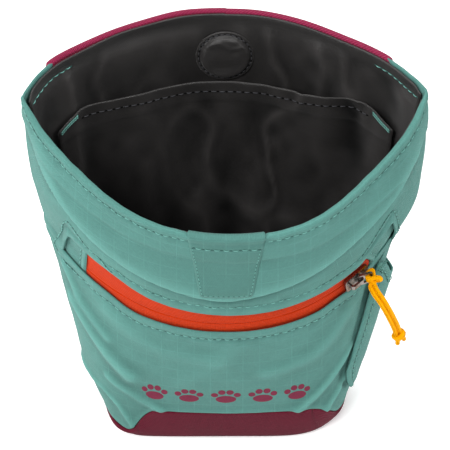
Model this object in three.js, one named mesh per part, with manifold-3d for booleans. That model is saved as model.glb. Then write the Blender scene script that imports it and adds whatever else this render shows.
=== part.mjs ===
// Treat pouch with a magnetic mouth and a zipped front pocket.
// Millimetres. X to the right, Y to the back, Z up. The middle of the base is the origin.
import * as THREE from 'three';
import { mergeVertices } from 'three/addons/utils/BufferGeometryUtils.js';
import Module from 'manifold-3d';

const wasm = await Module();
wasm.setup();

// ---------- driving sizes ----------
const CLOTH = 0.9;            // shell cloth with its backing
const GAP = 0.3;              // between two neighbouring pieces
const RIM = 132;              // level of the mouth's edge, as a height on the front centre line
const ZIP = 80;               // level of the zipper's middle
const BOOT = 17.5;            // level of the boot's top edge at the front and the back
const BOOT_SIDE = 5;          // and at the sides
const COLUMN = 0.05;          // step round the pouch
const ROWS = [12, 21, 30, 48, 64, 80, 96, 108, 125, 128, 130];
const WRAP = 1.16;            // how far the front cloth wraps on to the back: 1 is the side, 2 the back centre
const BACK_LEAN = 0.5;        // degrees that each level rises towards the back

// The pouch's shape, level by level up the front centre line.
const LEVELS = [
  { height: 0, halfWidth: 44.5, front: 22, back: 22, tilt: 0, arc: 0 },
  { height: 16, halfWidth: 50.5, front: 25, back: 26, tilt: 4, arc: 0.15 },
  { height: 48, halfWidth: 57.5, front: 32, back: 31.5, tilt: 12, arc: 0.6 },
  { height: 80, halfWidth: 64.5, front: 38.5, back: 36.5, tilt: 20.5, arc: 1 },
  { height: 108, halfWidth: 71.5, front: 43.5, back: 40.5, tilt: 25, arc: 1 },
  { height: 132, halfWidth: 70, front: 47, back: 44, tilt: 29, arc: 1 },
];

// layers, as depths in from the outer face of the shell
const TAPE = CLOTH + GAP;
const TAPE_THICK = 0.6;
const COIL = TAPE + TAPE_THICK + GAP;
const COIL_THICK = 1;
const POCKET = COIL + COIL_THICK + GAP;
const POCKET_THICK = 0.8;
const LINING_THICK = 0.8;
const LINING_DEEP = POCKET + POCKET_THICK + 0.4;

const ZIP_LEFT = -0.705;      // ends of the zipper's window round the front
const ZIP_RIGHT = 0.75;
const WINDOW_END = 0.76;      // the window's blunt ends start here, and close over WINDOW_CLOSE
const WINDOW_CLOSE = 0.12;
const MEETING = 78.5;         // level where the two cloths meet beyond the window
const TAPE_HALF = 15.5;       // height of one zipper tape
const SLIDER_AT = 0.64;

const TEAL = 0x67a398;
const BURGUNDY = 0x6b2838;
const WEBBING = 0x962850;
const CHARCOAL = 0x2d2d2f;
const ORANGE = 0xe44b1c;
const GUNMETAL = 0x3a3838;
const CORD_YELLOW = 0xfaaf00;
const STEEL = 0x8a8c8e;

const part = new THREE.Group();
part.name = 'treat_pouch';

// ---------- the shell's surface ----------
function levelAt(height) {
  const h = Math.min(Math.max(height, 0), RIM);
  let i = 0;
  while (i < LEVELS.length - 2 && h > LEVELS[i + 1].height) i += 1;
  const [a, b] = [LEVELS[i], LEVELS[i + 1]];
  const span = b.height - a.height;
  const u = (h - a.height) / span;
  const slope = (k, key) => {
    const lo = LEVELS[Math.max(k - 1, 0)];
    const hi = LEVELS[Math.min(k + 1, LEVELS.length - 1)];
    return (hi[key] - lo[key]) / (hi.height - lo.height);
  };
  const at = (key) => (2 * u ** 3 - 3 * u ** 2 + 1) * a[key]
    + (u ** 3 - 2 * u ** 2 + u) * span * slope(i, key)
    + (3 * u ** 2 - 2 * u ** 3) * b[key]
    + (u ** 3 - u ** 2) * span * slope(i + 1, key);
  return {
    halfWidth: at('halfWidth'), front: at('front'), back: at('back'), tilt: at('tilt'), arc: at('arc'),
  };
}

// A point of the shell's outer face. round: 0 front centre, 1 right side, 2 back centre, -1 left side.
function shell(round, height) {
  let r = round;
  while (r > 2) r -= 4;
  while (r <= -2) r += 4;
  const L = levelAt(height);
  const facesFront = Math.abs(r) <= 1;
  const a = facesFront ? r : Math.sign(r) * (2 - Math.abs(r));
  const tilt = THREE.MathUtils.degToRad(facesFront ? L.tilt : BACK_LEAN * height / RIM);
  const depth = (facesFront ? L.front : L.back) / Math.cos(tilt);
  const radius = (L.halfWidth ** 2 + depth ** 2) / (2 * depth);
  const sweep = 2 * Math.atan(depth / L.halfWidth);
  const arcX = radius * Math.sin(a * sweep);
  const arcOut = radius * Math.cos(a * sweep) - (radius - depth);
  const s = Math.sin(a * Math.PI / 2);
  const boxX = L.halfWidth * s;
  const boxOut = depth * Math.max(0, 1 - Math.abs(s) ** 5) ** 0.4;
  const x = L.arc * arcX + (1 - L.arc) * boxX;
  const out = L.arc * arcOut + (1 - L.arc) * boxOut;
  const sideHeight = height + L.front * Math.tan(THREE.MathUtils.degToRad(L.tilt));
  const way = facesFront ? -1 : 1;
  return new THREE.Vector3(x, way * out * Math.cos(tilt), sideHeight + way * out * Math.sin(tilt));
}

function frameAt(round, height) {
  const along = shell(round + 0.02, height).sub(shell(round - 0.02, height)).normalize();
  const low = Math.max(height - 0.5, 0);
  const up = shell(round, height + 0.5).sub(shell(round, low)).normalize();
  const inward = new THREE.Vector3().crossVectors(up, along).normalize();
  return { along, up: new THREE.Vector3().crossVectors(along, inward), inward };
}

// A point at a depth inside the shell's outer face; negative is outside it.
function skin(round, height, depth) {
  return shell(round, height).addScaledVector(frameAt(round, height).inward, depth);
}

function smooth(x) {
  const u = Math.min(Math.max(x, 0), 1);
  return u * u * (3 - 2 * u);
}

function mix(a, b, u) {
  return a + (b - a) * u;
}

// ---------- building closed bodies ----------
function bodyFrom(points, triangles) {
  let volume = 0;
  for (let i = 0; i < triangles.length; i += 3) {
    const [a, b, c] = [points[triangles[i]], points[triangles[i + 1]], points[triangles[i + 2]]];
    volume += a.dot(new THREE.Vector3().crossVectors(b, c));
  }
  if (volume < 0) triangles.reverse();
  const geometry = new THREE.BufferGeometry();
  const flat = points.flatMap((p) => [p.x, p.y, p.z]);
  geometry.setAttribute('position', new THREE.Float32BufferAttribute(flat, 3));
  geometry.setIndex(triangles);
  geometry.computeVertexNormals();
  return geometry;
}

// A sheet with two faces, nu by nv patches, closed round its four edges (or round two, if it's a loop).
function sheet(nu, nv, face, loop = false) {
  const rows = loop ? nu : nu + 1;
  const points = [];
  for (const side of [0, 1]) {
    for (let i = 0; i < rows; i += 1) {
      for (let j = 0; j <= nv; j += 1) points.push(face(i / nu, j / nv, side));
    }
  }
  const at = (i, j, side) => side * rows * (nv + 1) + (i % rows) * (nv + 1) + j;
  const triangles = [];
  const quad = (a, b, c, d) => triangles.push(a, b, c, a, c, d);
  for (let i = 0; i < nu; i += 1) {
    for (let j = 0; j < nv; j += 1) {
      quad(at(i, j, 0), at(i + 1, j, 0), at(i + 1, j + 1, 0), at(i, j + 1, 0));
      quad(at(i, j, 1), at(i, j + 1, 1), at(i + 1, j + 1, 1), at(i + 1, j, 1));
    }
    quad(at(i, 0, 0), at(i, 0, 1), at(i + 1, 0, 1), at(i + 1, 0, 0));
    quad(at(i, nv, 0), at(i + 1, nv, 0), at(i + 1, nv, 1), at(i, nv, 1));
  }
  for (let j = 0; j < nv && !loop; j += 1) {
    quad(at(0, j, 0), at(0, j + 1, 0), at(0, j + 1, 1), at(0, j, 1));
    quad(at(nu, j, 0), at(nu, j, 1), at(nu, j + 1, 1), at(nu, j + 1, 0));
  }
  return bodyFrom(points, triangles);
}

// A body made of closed rings one after another, its first and last rings filled in.
function rings(list) {
  const n = list[0].length;
  const points = list.flat();
  const triangles = [];
  for (let k = 0; k < list.length - 1; k += 1) {
    for (let i = 0; i < n; i += 1) {
      const [a, b] = [k * n + i, k * n + (i + 1) % n];
      triangles.push(a, b, b + n, a, b + n, a + n);
    }
  }
  for (const [k, turned] of [[0, true], [list.length - 1, false]]) {
    const middle = points.length;
    points.push(list[k].reduce((sum, p) => sum.add(p), new THREE.Vector3()).divideScalar(n));
    for (let i = 0; i < n; i += 1) {
      const [a, b] = [k * n + i, k * n + (i + 1) % n];
      triangles.push(...(turned ? [middle, b, a] : [middle, a, b]));
    }
  }
  return bodyFrom(points, triangles);
}

function solid(geometry, place = new THREE.Matrix4()) {
  const bare = new THREE.BufferGeometry();
  bare.setAttribute('position', geometry.attributes.position.clone());
  if (geometry.index) bare.setIndex(geometry.index.clone());
  bare.applyMatrix4(place);
  const merged = mergeVertices(bare, 1e-4);
  return new wasm.Manifold(new wasm.Mesh({
    numProp: 3,
    vertProperties: Float32Array.from(merged.attributes.position.array),
    triVerts: Uint32Array.from(merged.index.array),
  }));
}

function fromSolid(body) {
  const mesh = body.getMesh();
  const geometry = new THREE.BufferGeometry();
  geometry.setAttribute('position', new THREE.Float32BufferAttribute(mesh.vertProperties, 3));
  geometry.setIndex([...mesh.triVerts]);
  geometry.computeVertexNormals();
  return geometry;
}

function add(name, geometry, colour, roughness, metalness = 0) {
  const material = new THREE.MeshStandardMaterial({ color: colour, roughness, metalness });
  const mesh = new THREE.Mesh(geometry, material);
  mesh.name = name;
  part.add(mesh);
  return mesh;
}

function basis(along, up, out, origin) {
  return new THREE.Matrix4().makeBasis(along, up, out).setPosition(origin);
}

// ---------- shell panels ----------
// The boot's top edge is high across the front and the back, and low round both sides.
function bootTop(round) {
  const fromFront = Math.min(Math.abs(round), Math.abs(4 - Math.abs(round)));
  return BOOT_SIDE + (BOOT - BOOT_SIDE) * smooth((Math.abs(fromFront - 1) - 0.39) / 0.22);
}

// Lower edge of the upper front cloth. It lifts towards the window's ends, then drops to meet the lower cloth.
function upperLip(round) {
  const off = Math.abs(round);
  const lifted = 8 * round * round - 2.5 * round + 4.5 * smooth((off - 0.62) / 0.15);
  const closing = Math.min(Math.max((off - WINDOW_END) / WINDOW_CLOSE, 0), 1);
  return mix(ZIP + 5.8 + lifted, MEETING + GAP / 2, closing);
}

// Upper edge of the lower front cloth.
function lowerLip(round) {
  const closing = smooth((Math.abs(round) - 0.74) / 0.14);
  return mix(ZIP - 5.4 + 1.5 * round * round, MEETING - GAP / 2, closing);
}

// Neighbouring layers share the same columns, so that their flat patches can't cut through each other.
function columns(first, last) {
  const list = [first];
  for (let k = Math.ceil((first + COLUMN / 3) / COLUMN); k * COLUMN < last - COLUMN / 3; k += 1) list.push(k * COLUMN);
  return [...list, last];
}

// With `even`, each column has that many rows of one size between its own ends instead of the shared ROWS.
function panel(first, last, low, high, outer, thick, even = 0) {
  const rounds = columns(first, last);
  const nu = rounds.length - 1;
  const bottom = Math.max(...rounds.map(low));
  const top = Math.min(...rounds.map(high));
  const between = ROWS.filter((h) => h > bottom + 2 && h < top - 1);
  const nv = even || between.length + 1;
  return sheet(nu, nv, (u, v, side) => {
    const round = rounds[Math.round(u * nu)];
    const row = Math.round(v * nv);
    const height = even ? mix(low(round), high(round), v) : [low(round), ...between, high(round)][row];
    return skin(round, height, outer(round, height) + side * thick);
  });
}

const at = (value) => () => value;

function frontPanels() {
  add('front_upper_panel', panel(-WRAP, WRAP, upperLip, at(RIM), at(0), CLOTH, 8), TEAL, 0.75);
  add('front_lower_panel', panel(-WRAP, WRAP, (r) => bootTop(r) + GAP, lowerLip, at(0), CLOTH), TEAL, 0.75);
  const tab = (first, last) => panel(first, last, at(ZIP - 10), at(ZIP + 18), at(TAPE), TAPE_THICK);
  add('zipper_end_tab_left', tab(-0.9, ZIP_LEFT - 0.004), TEAL, 0.75);
  add('zipper_end_tab_right', tab(ZIP_RIGHT + 0.004, 0.9), TEAL, 0.75);
}

function backPanel() {
  const [first, last] = [WRAP + 0.005, 4 - WRAP - 0.005];
  add('back_panel', panel(first, last, (r) => bootTop(r) + GAP, at(RIM), at(0), CLOTH), BURGUNDY, 0.8);
  add('back_rim_trim', panel(first, last, at(RIM - 10), at(RIM + 0.9), at(-1.5), 1.2), WEBBING, 0.85);
}

function boot() {
  const count = 4 / COLUMN;
  const thick = 1.1;
  const ring = (height, depth, inset) => Array.from({ length: count }, (_, k) => {
    const round = -2 + (4 * k) / count;
    const p = skin(round, height(round), depth);
    const shrink = 1 - inset / Math.hypot(p.x, p.y);
    return new THREE.Vector3(p.x * shrink, p.y * shrink, p.z);
  });
  const floor = (z, depth, inset) => ring(at(0), depth, inset).map((p) => p.setZ(z));
  add('base_boot', rings([
    floor(0, 0, 1.6),
    floor(0.7, 0, 0.4),
    ring(at(2.2), 0, 0),
    ring(bootTop, 0, 0),
    ring(bootTop, thick, 0),
    ring(at(3), thick, 0),
    floor(1.3, thick, 1),
  ]), BURGUNDY, 0.8);
  add('lining_base', rings([floor(1.7, thick, 1.4), floor(2.5, thick, 1.1)]), CHARCOAL, 0.5);
}

// ---------- zipper ----------
function zipper() {
  const strip = (low, high, depth, thick) => panel(ZIP_LEFT, ZIP_RIGHT, at(low), at(high), at(depth), thick);
  add('zipper_tape_upper', strip(ZIP + 0.15, ZIP + TAPE_HALF, TAPE, TAPE_THICK), ORANGE, 0.8);
  add('zipper_tape_lower', strip(ZIP - TAPE_HALF, ZIP - 0.15, TAPE, TAPE_THICK), ORANGE, 0.8);
  add('zipper_coil', strip(ZIP - 2.2, ZIP + 2.2, COIL, COIL_THICK), ORANGE, 0.5);
  add('pocket_back_panel', panel(-0.86, 0.86, at(18), at(ZIP + 20), at(POCKET), POCKET_THICK),
    CHARCOAL, 0.7);
}

// Directions at the slider: along the zipper, across it, and out from it.
function sliderPlace() {
  const L = levelAt(ZIP);
  const tilt = THREE.MathUtils.degToRad(L.tilt);
  const depth = L.front / Math.cos(tilt);
  const angle = SLIDER_AT * 2 * Math.atan(depth / L.halfWidth);
  const forward = new THREE.Vector3(0, -Math.cos(tilt), -Math.sin(tilt));
  const radial = forward.clone().multiplyScalar(Math.cos(angle)).add(new THREE.Vector3(Math.sin(angle), 0, 0));
  const along = forward.clone().multiplyScalar(-Math.sin(angle)).add(new THREE.Vector3(Math.cos(angle), 0, 0));
  const across = new THREE.Vector3().crossVectors(radial, along);
  const lean = THREE.MathUtils.degToRad(SLIDER_LEAN);
  const out = radial.clone().multiplyScalar(Math.cos(lean)).addScaledVector(across, Math.sin(lean));
  const up = across.clone().multiplyScalar(Math.cos(lean)).addScaledVector(radial, -Math.sin(lean));
  return { along, up, out, origin: skin(SLIDER_AT, ZIP, TAPE) };
}

const SLIDER_LEAN = 9.3;      // the slider's plate leans this far from the axis it turns about
const PLATE_LOW = 0.5;        // heights above the tape
const PLATE_HIGH = 1.5;
const BAR = 0.8;              // the pull ring's wire
const PIVOT = PLATE_HIGH + 0.4 + BAR / 2;
const BRIDGE_INSIDE = PIVOT + BAR / 2 + 0.35;
const BRIDGE_THICK = 0.8;
const RING_REACH = 5;         // from the ring's hinge to the bar that carries the cord
const RING_HALF = 3.1;
const RING_REST = 24;         // degrees that the ring stands up at rest
const CORD = 1.7;
const LOOP = BAR * 0.71 + 0.2 + CORD / 2;

function plateOutline() {
  const shape = new THREE.Shape();
  shape.moveTo(-5.4, -2.6);
  shape.lineTo(-4.6, -3.4);
  shape.lineTo(0.6, -3.7);
  shape.lineTo(4.4, -4.2);
  shape.lineTo(5.4, -3.2);
  shape.lineTo(5.4, 3.2);
  shape.lineTo(4.4, 4.2);
  shape.lineTo(0.6, 3.7);
  shape.lineTo(-4.6, 3.4);
  shape.lineTo(-5.4, 2.6);
  return shape;
}

function bridgeOutline() {
  const [left, right, top] = [-4, 1.7, BRIDGE_INSIDE + BRIDGE_THICK];
  const shape = new THREE.Shape();
  shape.moveTo(left, PLATE_HIGH - 0.3);
  shape.lineTo(left, top - 0.8);
  shape.lineTo(left + 0.8, top);
  shape.lineTo(right - 0.6, top);
  shape.lineTo(right, top - 0.6);
  shape.lineTo(right, PLATE_HIGH - 0.3);
  shape.lineTo(right - BRIDGE_THICK, PLATE_HIGH - 0.3);
  shape.lineTo(right - BRIDGE_THICK, BRIDGE_INSIDE);
  shape.lineTo(left + BRIDGE_THICK + 0.3, BRIDGE_INSIDE);
  shape.lineTo(left + BRIDGE_THICK, BRIDGE_INSIDE - 0.3);
  shape.lineTo(left + BRIDGE_THICK, PLATE_HIGH - 0.3);
  return shape;
}

function roundedFrame(halfLong, halfWide, corner) {
  const shape = new THREE.Shape();
  shape.moveTo(-halfLong + corner, -halfWide);
  shape.lineTo(halfLong - corner, -halfWide);
  shape.lineTo(halfLong, -halfWide + corner);
  shape.lineTo(halfLong, halfWide - corner);
  shape.lineTo(halfLong - corner, halfWide);
  shape.lineTo(-halfLong + corner, halfWide);
  shape.lineTo(-halfLong, halfWide - corner);
  shape.lineTo(-halfLong, -halfWide + corner);
  return shape;
}

function tube(points, thickness, sides, steps, closed = false) {
  const path = new THREE.CatmullRomCurve3(points, closed);
  const ring = new THREE.Shape();
  for (let k = 0; k < sides; k += 1) {
    const a = (2 * Math.PI * k) / sides;
    const [x, y] = [(thickness / 2) * Math.cos(a), (thickness / 2) * Math.sin(a)];
    if (k) ring.lineTo(x, y);
    else ring.moveTo(x, y);
  }
  return new THREE.ExtrudeGeometry(ring, { steps, extrudePath: path, curveSegments: 1 });
}

function slider() {
  const { along, up, out, origin } = sliderPlace();
  const place = basis(along, up, out, origin);
  const plate = new THREE.ExtrudeGeometry(plateOutline(), { depth: PLATE_HIGH - PLATE_LOW, bevelEnabled: false });
  const bridge = new THREE.ExtrudeGeometry(bridgeOutline(), { depth: 2.2, bevelEnabled: false });
  const onPlate = new THREE.Matrix4().makeRotationX(Math.PI / 2).setPosition(0, 1.1, 0);
  const whole = solid(plate, new THREE.Matrix4().makeTranslation(0, 0, PLATE_LOW)).add(solid(bridge, onPlate));
  add('zipper_slider', fromSolid(whole).applyMatrix4(place), GUNMETAL, 0.35, 0.9);

  // the ring's own directions: reach away from its hinge, along the hinge, and square to both
  const lift = THREE.MathUtils.degToRad(RING_REST);
  const reach = along.clone().multiplyScalar(Math.cos(lift)).addScaledVector(out, Math.sin(lift));
  const square = new THREE.Vector3().crossVectors(reach, up);
  const hinge = origin.clone().addScaledVector(out, PIVOT);
  const frame = roundedFrame(RING_REACH / 2 + BAR / 2, RING_HALF, 0.9);
  frame.holes.push(roundedFrame(RING_REACH / 2 - BAR / 2, RING_HALF - BAR, 0.4));
  const ring = new THREE.ExtrudeGeometry(frame, { depth: BAR, bevelEnabled: false });
  const turned = solid(ring, new THREE.Matrix4().makeTranslation(RING_REACH / 2, 0, -BAR / 2));
  add('zipper_pull_ring', fromSolid(turned).applyMatrix4(basis(reach, up, square, hinge)), GUNMETAL, 0.35, 0.9);

  pullCord(basis(reach, up, square, hinge));
}

// ---------- the pull's cord ----------
// The middle line between its two strands, from the ring down to the knot.
const CORD_ROUTE = [
  [53.4, -23.6, 82.7], [55.6, -25.6, 80.0], [58.8, -26.6, 75.9], [61.6, -26.2, 70.6], [63.6, -24.8, 65.2],
  [64.6, -23.0, 60.4], [64.8, -21.2, 56.0],
];
const STRAND_APART = CORD / 2 + 0.17;

function pullCord(place) {
  const loop = (y) => {
    const torus = new THREE.TorusGeometry(LOOP, CORD / 2, 8, 20);
    return solid(torus, new THREE.Matrix4().makeRotationX(Math.PI / 2).setPosition(RING_REACH, y, 0));
  };
  const half = CORD / 2 + 0.17;
  const bight = tube([-half, -half / 3, half / 3, half].map((y) => new THREE.Vector3(
    RING_REACH + LOOP * 0.75, y, LOOP * 0.75)), CORD, 8, 4);
  const hitch = loop(-half).add(loop(half)).add(solid(bight));
  add('pull_cord_hitch', fromSolid(hitch).applyMatrix4(place), CORD_YELLOW, 0.8);

  const route = CORD_ROUTE.map((p) => new THREE.Vector3(...p));
  const apart = new THREE.Vector3(-0.83, -0.39, -0.39).normalize().multiplyScalar(STRAND_APART);
  for (const [name, way] of [['pull_cord_strand_front', 1], ['pull_cord_strand_rear', -1]]) {
    const points = route.map((p) => p.clone().addScaledVector(apart, way));
    add(name, tube(points, CORD, 8, 12), CORD_YELLOW, 0.8);
  }
  const end = route[route.length - 1];
  const down = end.clone().sub(route[route.length - 2]).normalize();
  const knotAt = end.clone().addScaledVector(down, 3.1);
  const knot = new THREE.SphereGeometry(2.5, 10, 8);
  const tail = (way) => tube([0, 3, 6].map((s) => knotAt.clone().addScaledVector(down, s)
    .addScaledVector(apart, way * (1 + s * 0.12))), CORD, 8, 3);
  const whole = solid(knot, new THREE.Matrix4().makeTranslation(knotAt.x, knotAt.y, knotAt.z))
    .add(solid(tail(1))).add(solid(tail(-1)));
  add('pull_cord_knot', fromSolid(whole), CORD_YELLOW, 0.8);
}

// ---------- inside ----------
// Depth of the lining's outer face: against the shell at the rim and the back, behind the pocket in front.
function liningDepth(round, height) {
  const fromFront = Math.min(Math.abs(round), Math.abs(4 - Math.abs(round)));
  const front = 1 - smooth((fromFront - 0.86) / 0.12);
  const low = 1 - smooth((height - (RIM - 7)) / 6);
  const corner = 0.6 * Math.exp(-(((fromFront - 1) / 0.06) ** 2));
  const foot = 0.5 * (1 - smooth((height - 10) / 30));
  return TAPE + corner + foot + (LINING_DEEP - TAPE) * front * low;
}

const LINING_LOW = 3.2;
const POCKET_EDGE = 109.5;    // top edge of the slip pocket inside, at its middle
const POCKET_OPEN = 9.5;      // depth of its wall where it stands away from the lining

function slipPocketDepth(round, height) {
  const lined = liningDepth(round, height) + LINING_THICK + GAP;
  return mix(lined, POCKET_OPEN, smooth((0.72 - Math.abs(round - 2)) / 0.35));
}

function inside() {
  add('lining_front', panel(-0.985, 0.985, at(LINING_LOW), (r) => RIM - 0.2, liningDepth, LINING_THICK),
    CHARCOAL, 0.5);
  add('lining_back', panel(1.015, 2.985, at(LINING_LOW), (r) => RIM - 0.2, liningDepth, LINING_THICK),
    CHARCOAL, 0.5);
  const edge = (round) => POCKET_EDGE + 6.5 * (round - 2) ** 2;
  add('inner_slip_pocket', panel(1.28, 2.72, at(6), edge, slipPocketDepth, 0.8),
    CHARCOAL, 0.5);
}

// ---------- magnets ----------
function disc(radius, thick, place) {
  const half = thick / 2;
  const profile = [[0, -half], [radius - 0.3, -half], [radius, -half + 0.3], [radius, half - 0.3],
    [radius - 0.3, half], [0, half]];
  const geometry = new THREE.LatheGeometry(profile.map(([x, y]) => new THREE.Vector2(x, y)), 28);
  return geometry.rotateX(Math.PI / 2).applyMatrix4(place);
}

const MAGNET_R = 9;
const MAGNET_THICK = 2;
const FRONT_MAGNET_LEVEL = 115;
const REAR_MAGNET_LEVEL = 118;

function placeInside(round, height, depth) {
  const { along, up, inward } = frameAt(round, height);
  return basis(along, up, inward.clone().negate(), skin(round, height, depth));
}

function magnets() {
  const frontDepth = TAPE + 0.6 + MAGNET_THICK / 2;
  add('front_magnet', disc(MAGNET_R, MAGNET_THICK, placeInside(0, FRONT_MAGNET_LEVEL, frontDepth)), STEEL, 0.3, 1);
  const rearDepth = TAPE + LINING_THICK + 0.9 + MAGNET_THICK / 2;
  add('rear_magnet', disc(MAGNET_R, MAGNET_THICK, placeInside(2, REAR_MAGNET_LEVEL, rearDepth)), STEEL, 0.3, 1);
  // a cloth cap over the rear magnet, with a flat border all round that's sewn to the lining
  const top = MAGNET_THICK / 2 + GAP;
  const foot = -MAGNET_THICK / 2 + 0.35;
  const profile = [[0, top], [MAGNET_R, top], [MAGNET_R + GAP, top - 0.3], [MAGNET_R + GAP, foot],
    [12, foot], [12, foot + 0.6], [MAGNET_R + 1.1, foot + 0.6], [MAGNET_R + 0.9, top + 0.3],
    [MAGNET_R - 0.4, top + 0.7], [0, top + 0.7]];
  const cap = new THREE.LatheGeometry(profile.map(([x, y]) => new THREE.Vector2(x, y)), 28);
  cap.rotateX(-Math.PI / 2);
  add('rear_magnet_cap', cap.applyMatrix4(placeInside(2, REAR_MAGNET_LEVEL, rearDepth)), CHARCOAL, 0.5);
}

// The shield-shaped patch over the front magnet. It runs up the front, over the rim and down inside.
function magnetPatch() {
  const lined = (height) => liningDepth(0, height) + LINING_THICK + GAP;
  const faces = [
    [[-0.9, 101.5], [-GAP, 101.5]],
    [[-0.9, 109.5], [-GAP, 109.5]],
    [[-0.9, 117.5], [-GAP, 117.5]],
    [[-0.9, 125], [-GAP, 125]],
    [[-0.9, RIM + 0.3], [-GAP, RIM + 0.1]],
    [[-0.2, RIM + 0.9], [0.1, RIM + 0.35]],
    [[2.6, RIM + 0.9], [2.1, RIM + 0.35]],
    [[3, RIM], [lined(RIM), RIM]],
    [[lined(130) + 0.6, 130], [lined(130), 130]],
    [[lined(128) + 0.6, 128], [lined(128), 128]],
  ];
  const steps = faces.length - 1;
  add('front_magnet_patch', sheet(steps, 8, (u, v, side) => {
    const [depth, height] = faces[Math.round(u * steps)][side];
    const half = mix(0.1, 0.142, (height - 101) / 30);
    return skin(mix(-half, half, v), height, depth);
  }), TEAL, 0.75);
}

// ---------- bag pocket on the right side ----------
const SIDE_POCKET_ROWS = 6;
const SIDE_POCKET_FOOT = 20;
const SIDE_POCKET_BULGE = 2.4;

// The pocket's front seam, which bends towards the front at its foot.
function pocketSeam(height) {
  const upper = 0.06 * smooth((height - 45) / 25);
  const bend = 0.065 * Math.exp(-(((height - 32) / 10) ** 2));
  const foot = 0.04 * (1 - smooth((height - 18) / 8));
  return 0.745 + upper - bend + foot;
}

// The pocket's open top edge slants down towards the back.
function sidePocketTop(round) {
  return mix(75, 60, smooth((round - 0.8) / 0.22));
}

// A wall sewn down at its front seam, its foot and the back seam. Its top edge stands open.
function sidePocket() {
  const last = WRAP - 0.005;
  const inner = columns(0.85, last);
  add('side_bag_pocket', sheet(inner.length, SIDE_POCKET_ROWS, (u, v, side) => {
    const k = Math.round(u * inner.length);
    const height = mix(SIDE_POCKET_FOOT, sidePocketTop(k ? inner[k - 1] : 0), v);
    const round = k ? inner[k - 1] : pocketSeam(height);
    const across = (round - pocketSeam(height)) / (last - pocketSeam(height));
    const bulge = SIDE_POCKET_BULGE * Math.sin(Math.PI * across) * (0.25 + 0.75 * smooth(v)) * smooth(v * 4);
    return skin(round, height, -GAP - 0.8 * (1 - side) - bulge);
  }), TEAL, 0.75);
}

// ---------- belt clip on the back ----------
function beltClip() {
  add('clip_patch', panel(1.72, 2.28, at(60), at(104), at(-1.2), CLOTH), WEBBING, 0.85);
  const { along, up, inward } = frameAt(2, 84);
  const place = basis(along, up, inward.clone().negate(), shell(2, 84));
  const legAt = 1.2 + GAP;
  const leaf = 0.8;
  // the strip's middle line, up the fixed leg, round the bend and down the springing leg
  const line = [[-20, legAt], [-10, legAt], [0, legAt], [14, legAt], [17.6, legAt + 1], [19.8, legAt + 3.8],
    [18.6, legAt + 7.6], [14, legAt + 9.2], [0, legAt + 8.6], [-14, legAt + 7.6], [-18, legAt + 7.4],
    [-23, legAt + 9.6]].map(([x, y]) => new THREE.Vector2(x, y + leaf / 2));
  const half = 9;
  const last = line.length - 1;
  const strip = sheet(last, 1, (u, v, side) => {
    const k = Math.round(u * last);
    const way = line[Math.min(k + 1, last)].clone().sub(line[Math.max(k - 1, 0)]).normalize();
    const shift = side ? leaf / 2 : -leaf / 2;
    return new THREE.Vector3(mix(-half, half, v), line[k].x - way.y * shift, line[k].y + way.x * shift);
  });
  let clip = solid(strip);
  for (const y of [-13, 7]) {
    const hole = new THREE.CylinderGeometry(1.5, 1.5, 3, 16).rotateX(Math.PI / 2).translate(0, y, legAt + leaf / 2);
    clip = clip.subtract(solid(hole));
    const [under, top] = [legAt + leaf + 0.2, legAt + leaf + 1.1];
    const foot = legAt + 0.05;
    const profile = [[0, foot], [1.2, foot], [1.2, under], [3, under], [2.7, top - 0.3], [1.6, top], [0, top]];
    const rivet = new THREE.LatheGeometry(profile.map(([x, z]) => new THREE.Vector2(x, z)), 16);
    rivet.rotateX(Math.PI / 2).translate(0, y, 0);
    add(y < 0 ? 'clip_rivet_lower' : 'clip_rivet_upper', rivet.applyMatrix4(place), STEEL, 0.35, 0.9);
  }
  add('belt_clip', fromSolid(clip).applyMatrix4(place), STEEL, 0.35, 0.9);
}

frontPanels();
backPanel();
boot();
zipper();
slider();
inside();
magnets();
magnetPatch();
sidePocket();
beltClip();

export default part;
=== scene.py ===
"""Treat pouch: a cloth shell with a magnetic mouth, a zipped front pocket, a bag pocket and a belt clip.

A place on the cloth is (round, level, depth). Round is 0 at the front centre, 1 at the right side,
2 at the back centre and -1 at the left side. Level is a height on the front centre line. Depth is
measured in from the shell's outer face. Levels and depths are in mm, and meshes are made in metres."""

import math

import bmesh
import bpy
import numpy as np
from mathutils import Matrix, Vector


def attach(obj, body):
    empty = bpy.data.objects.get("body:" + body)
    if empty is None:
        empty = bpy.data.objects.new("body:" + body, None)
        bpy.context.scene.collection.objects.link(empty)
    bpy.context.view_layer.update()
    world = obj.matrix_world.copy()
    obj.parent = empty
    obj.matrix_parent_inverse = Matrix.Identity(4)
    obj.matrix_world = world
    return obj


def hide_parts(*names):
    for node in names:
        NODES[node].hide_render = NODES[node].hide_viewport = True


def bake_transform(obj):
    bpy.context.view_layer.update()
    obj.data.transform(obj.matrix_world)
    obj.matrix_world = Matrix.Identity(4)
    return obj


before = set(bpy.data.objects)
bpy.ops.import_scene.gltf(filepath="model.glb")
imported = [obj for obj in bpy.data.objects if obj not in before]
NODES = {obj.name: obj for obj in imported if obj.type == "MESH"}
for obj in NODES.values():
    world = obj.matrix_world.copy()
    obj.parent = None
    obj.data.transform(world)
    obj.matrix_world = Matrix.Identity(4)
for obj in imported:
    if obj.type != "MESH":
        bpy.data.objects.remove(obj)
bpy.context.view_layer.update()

# ---------- driving sizes ----------
CLOTH = 0.9
GAP = 0.3                    # between neighbouring layers and panels
RIM = 132.0                  # level of the mouth's rim
ZIP = 80.0                   # and of the zipper
BOOT, BOOT_SIDE = 18.0, 3.8  # and of the boot's top edge, in the middle and round the sides
WRAP_LEFT, WRAP_RIGHT = 1.2, 1.24    # the front cloth's ends on the back
BACK_LEAN = 0.5              # degrees
ARC = 72.0                   # mm of cloth for each unit of round, about
TAPE = CLOTH + GAP           # depth of the zipper tapes
LINING_THICK = 0.8
LINING_DEEP = 4.6            # depth of the front lining, behind the zipped pocket
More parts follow.
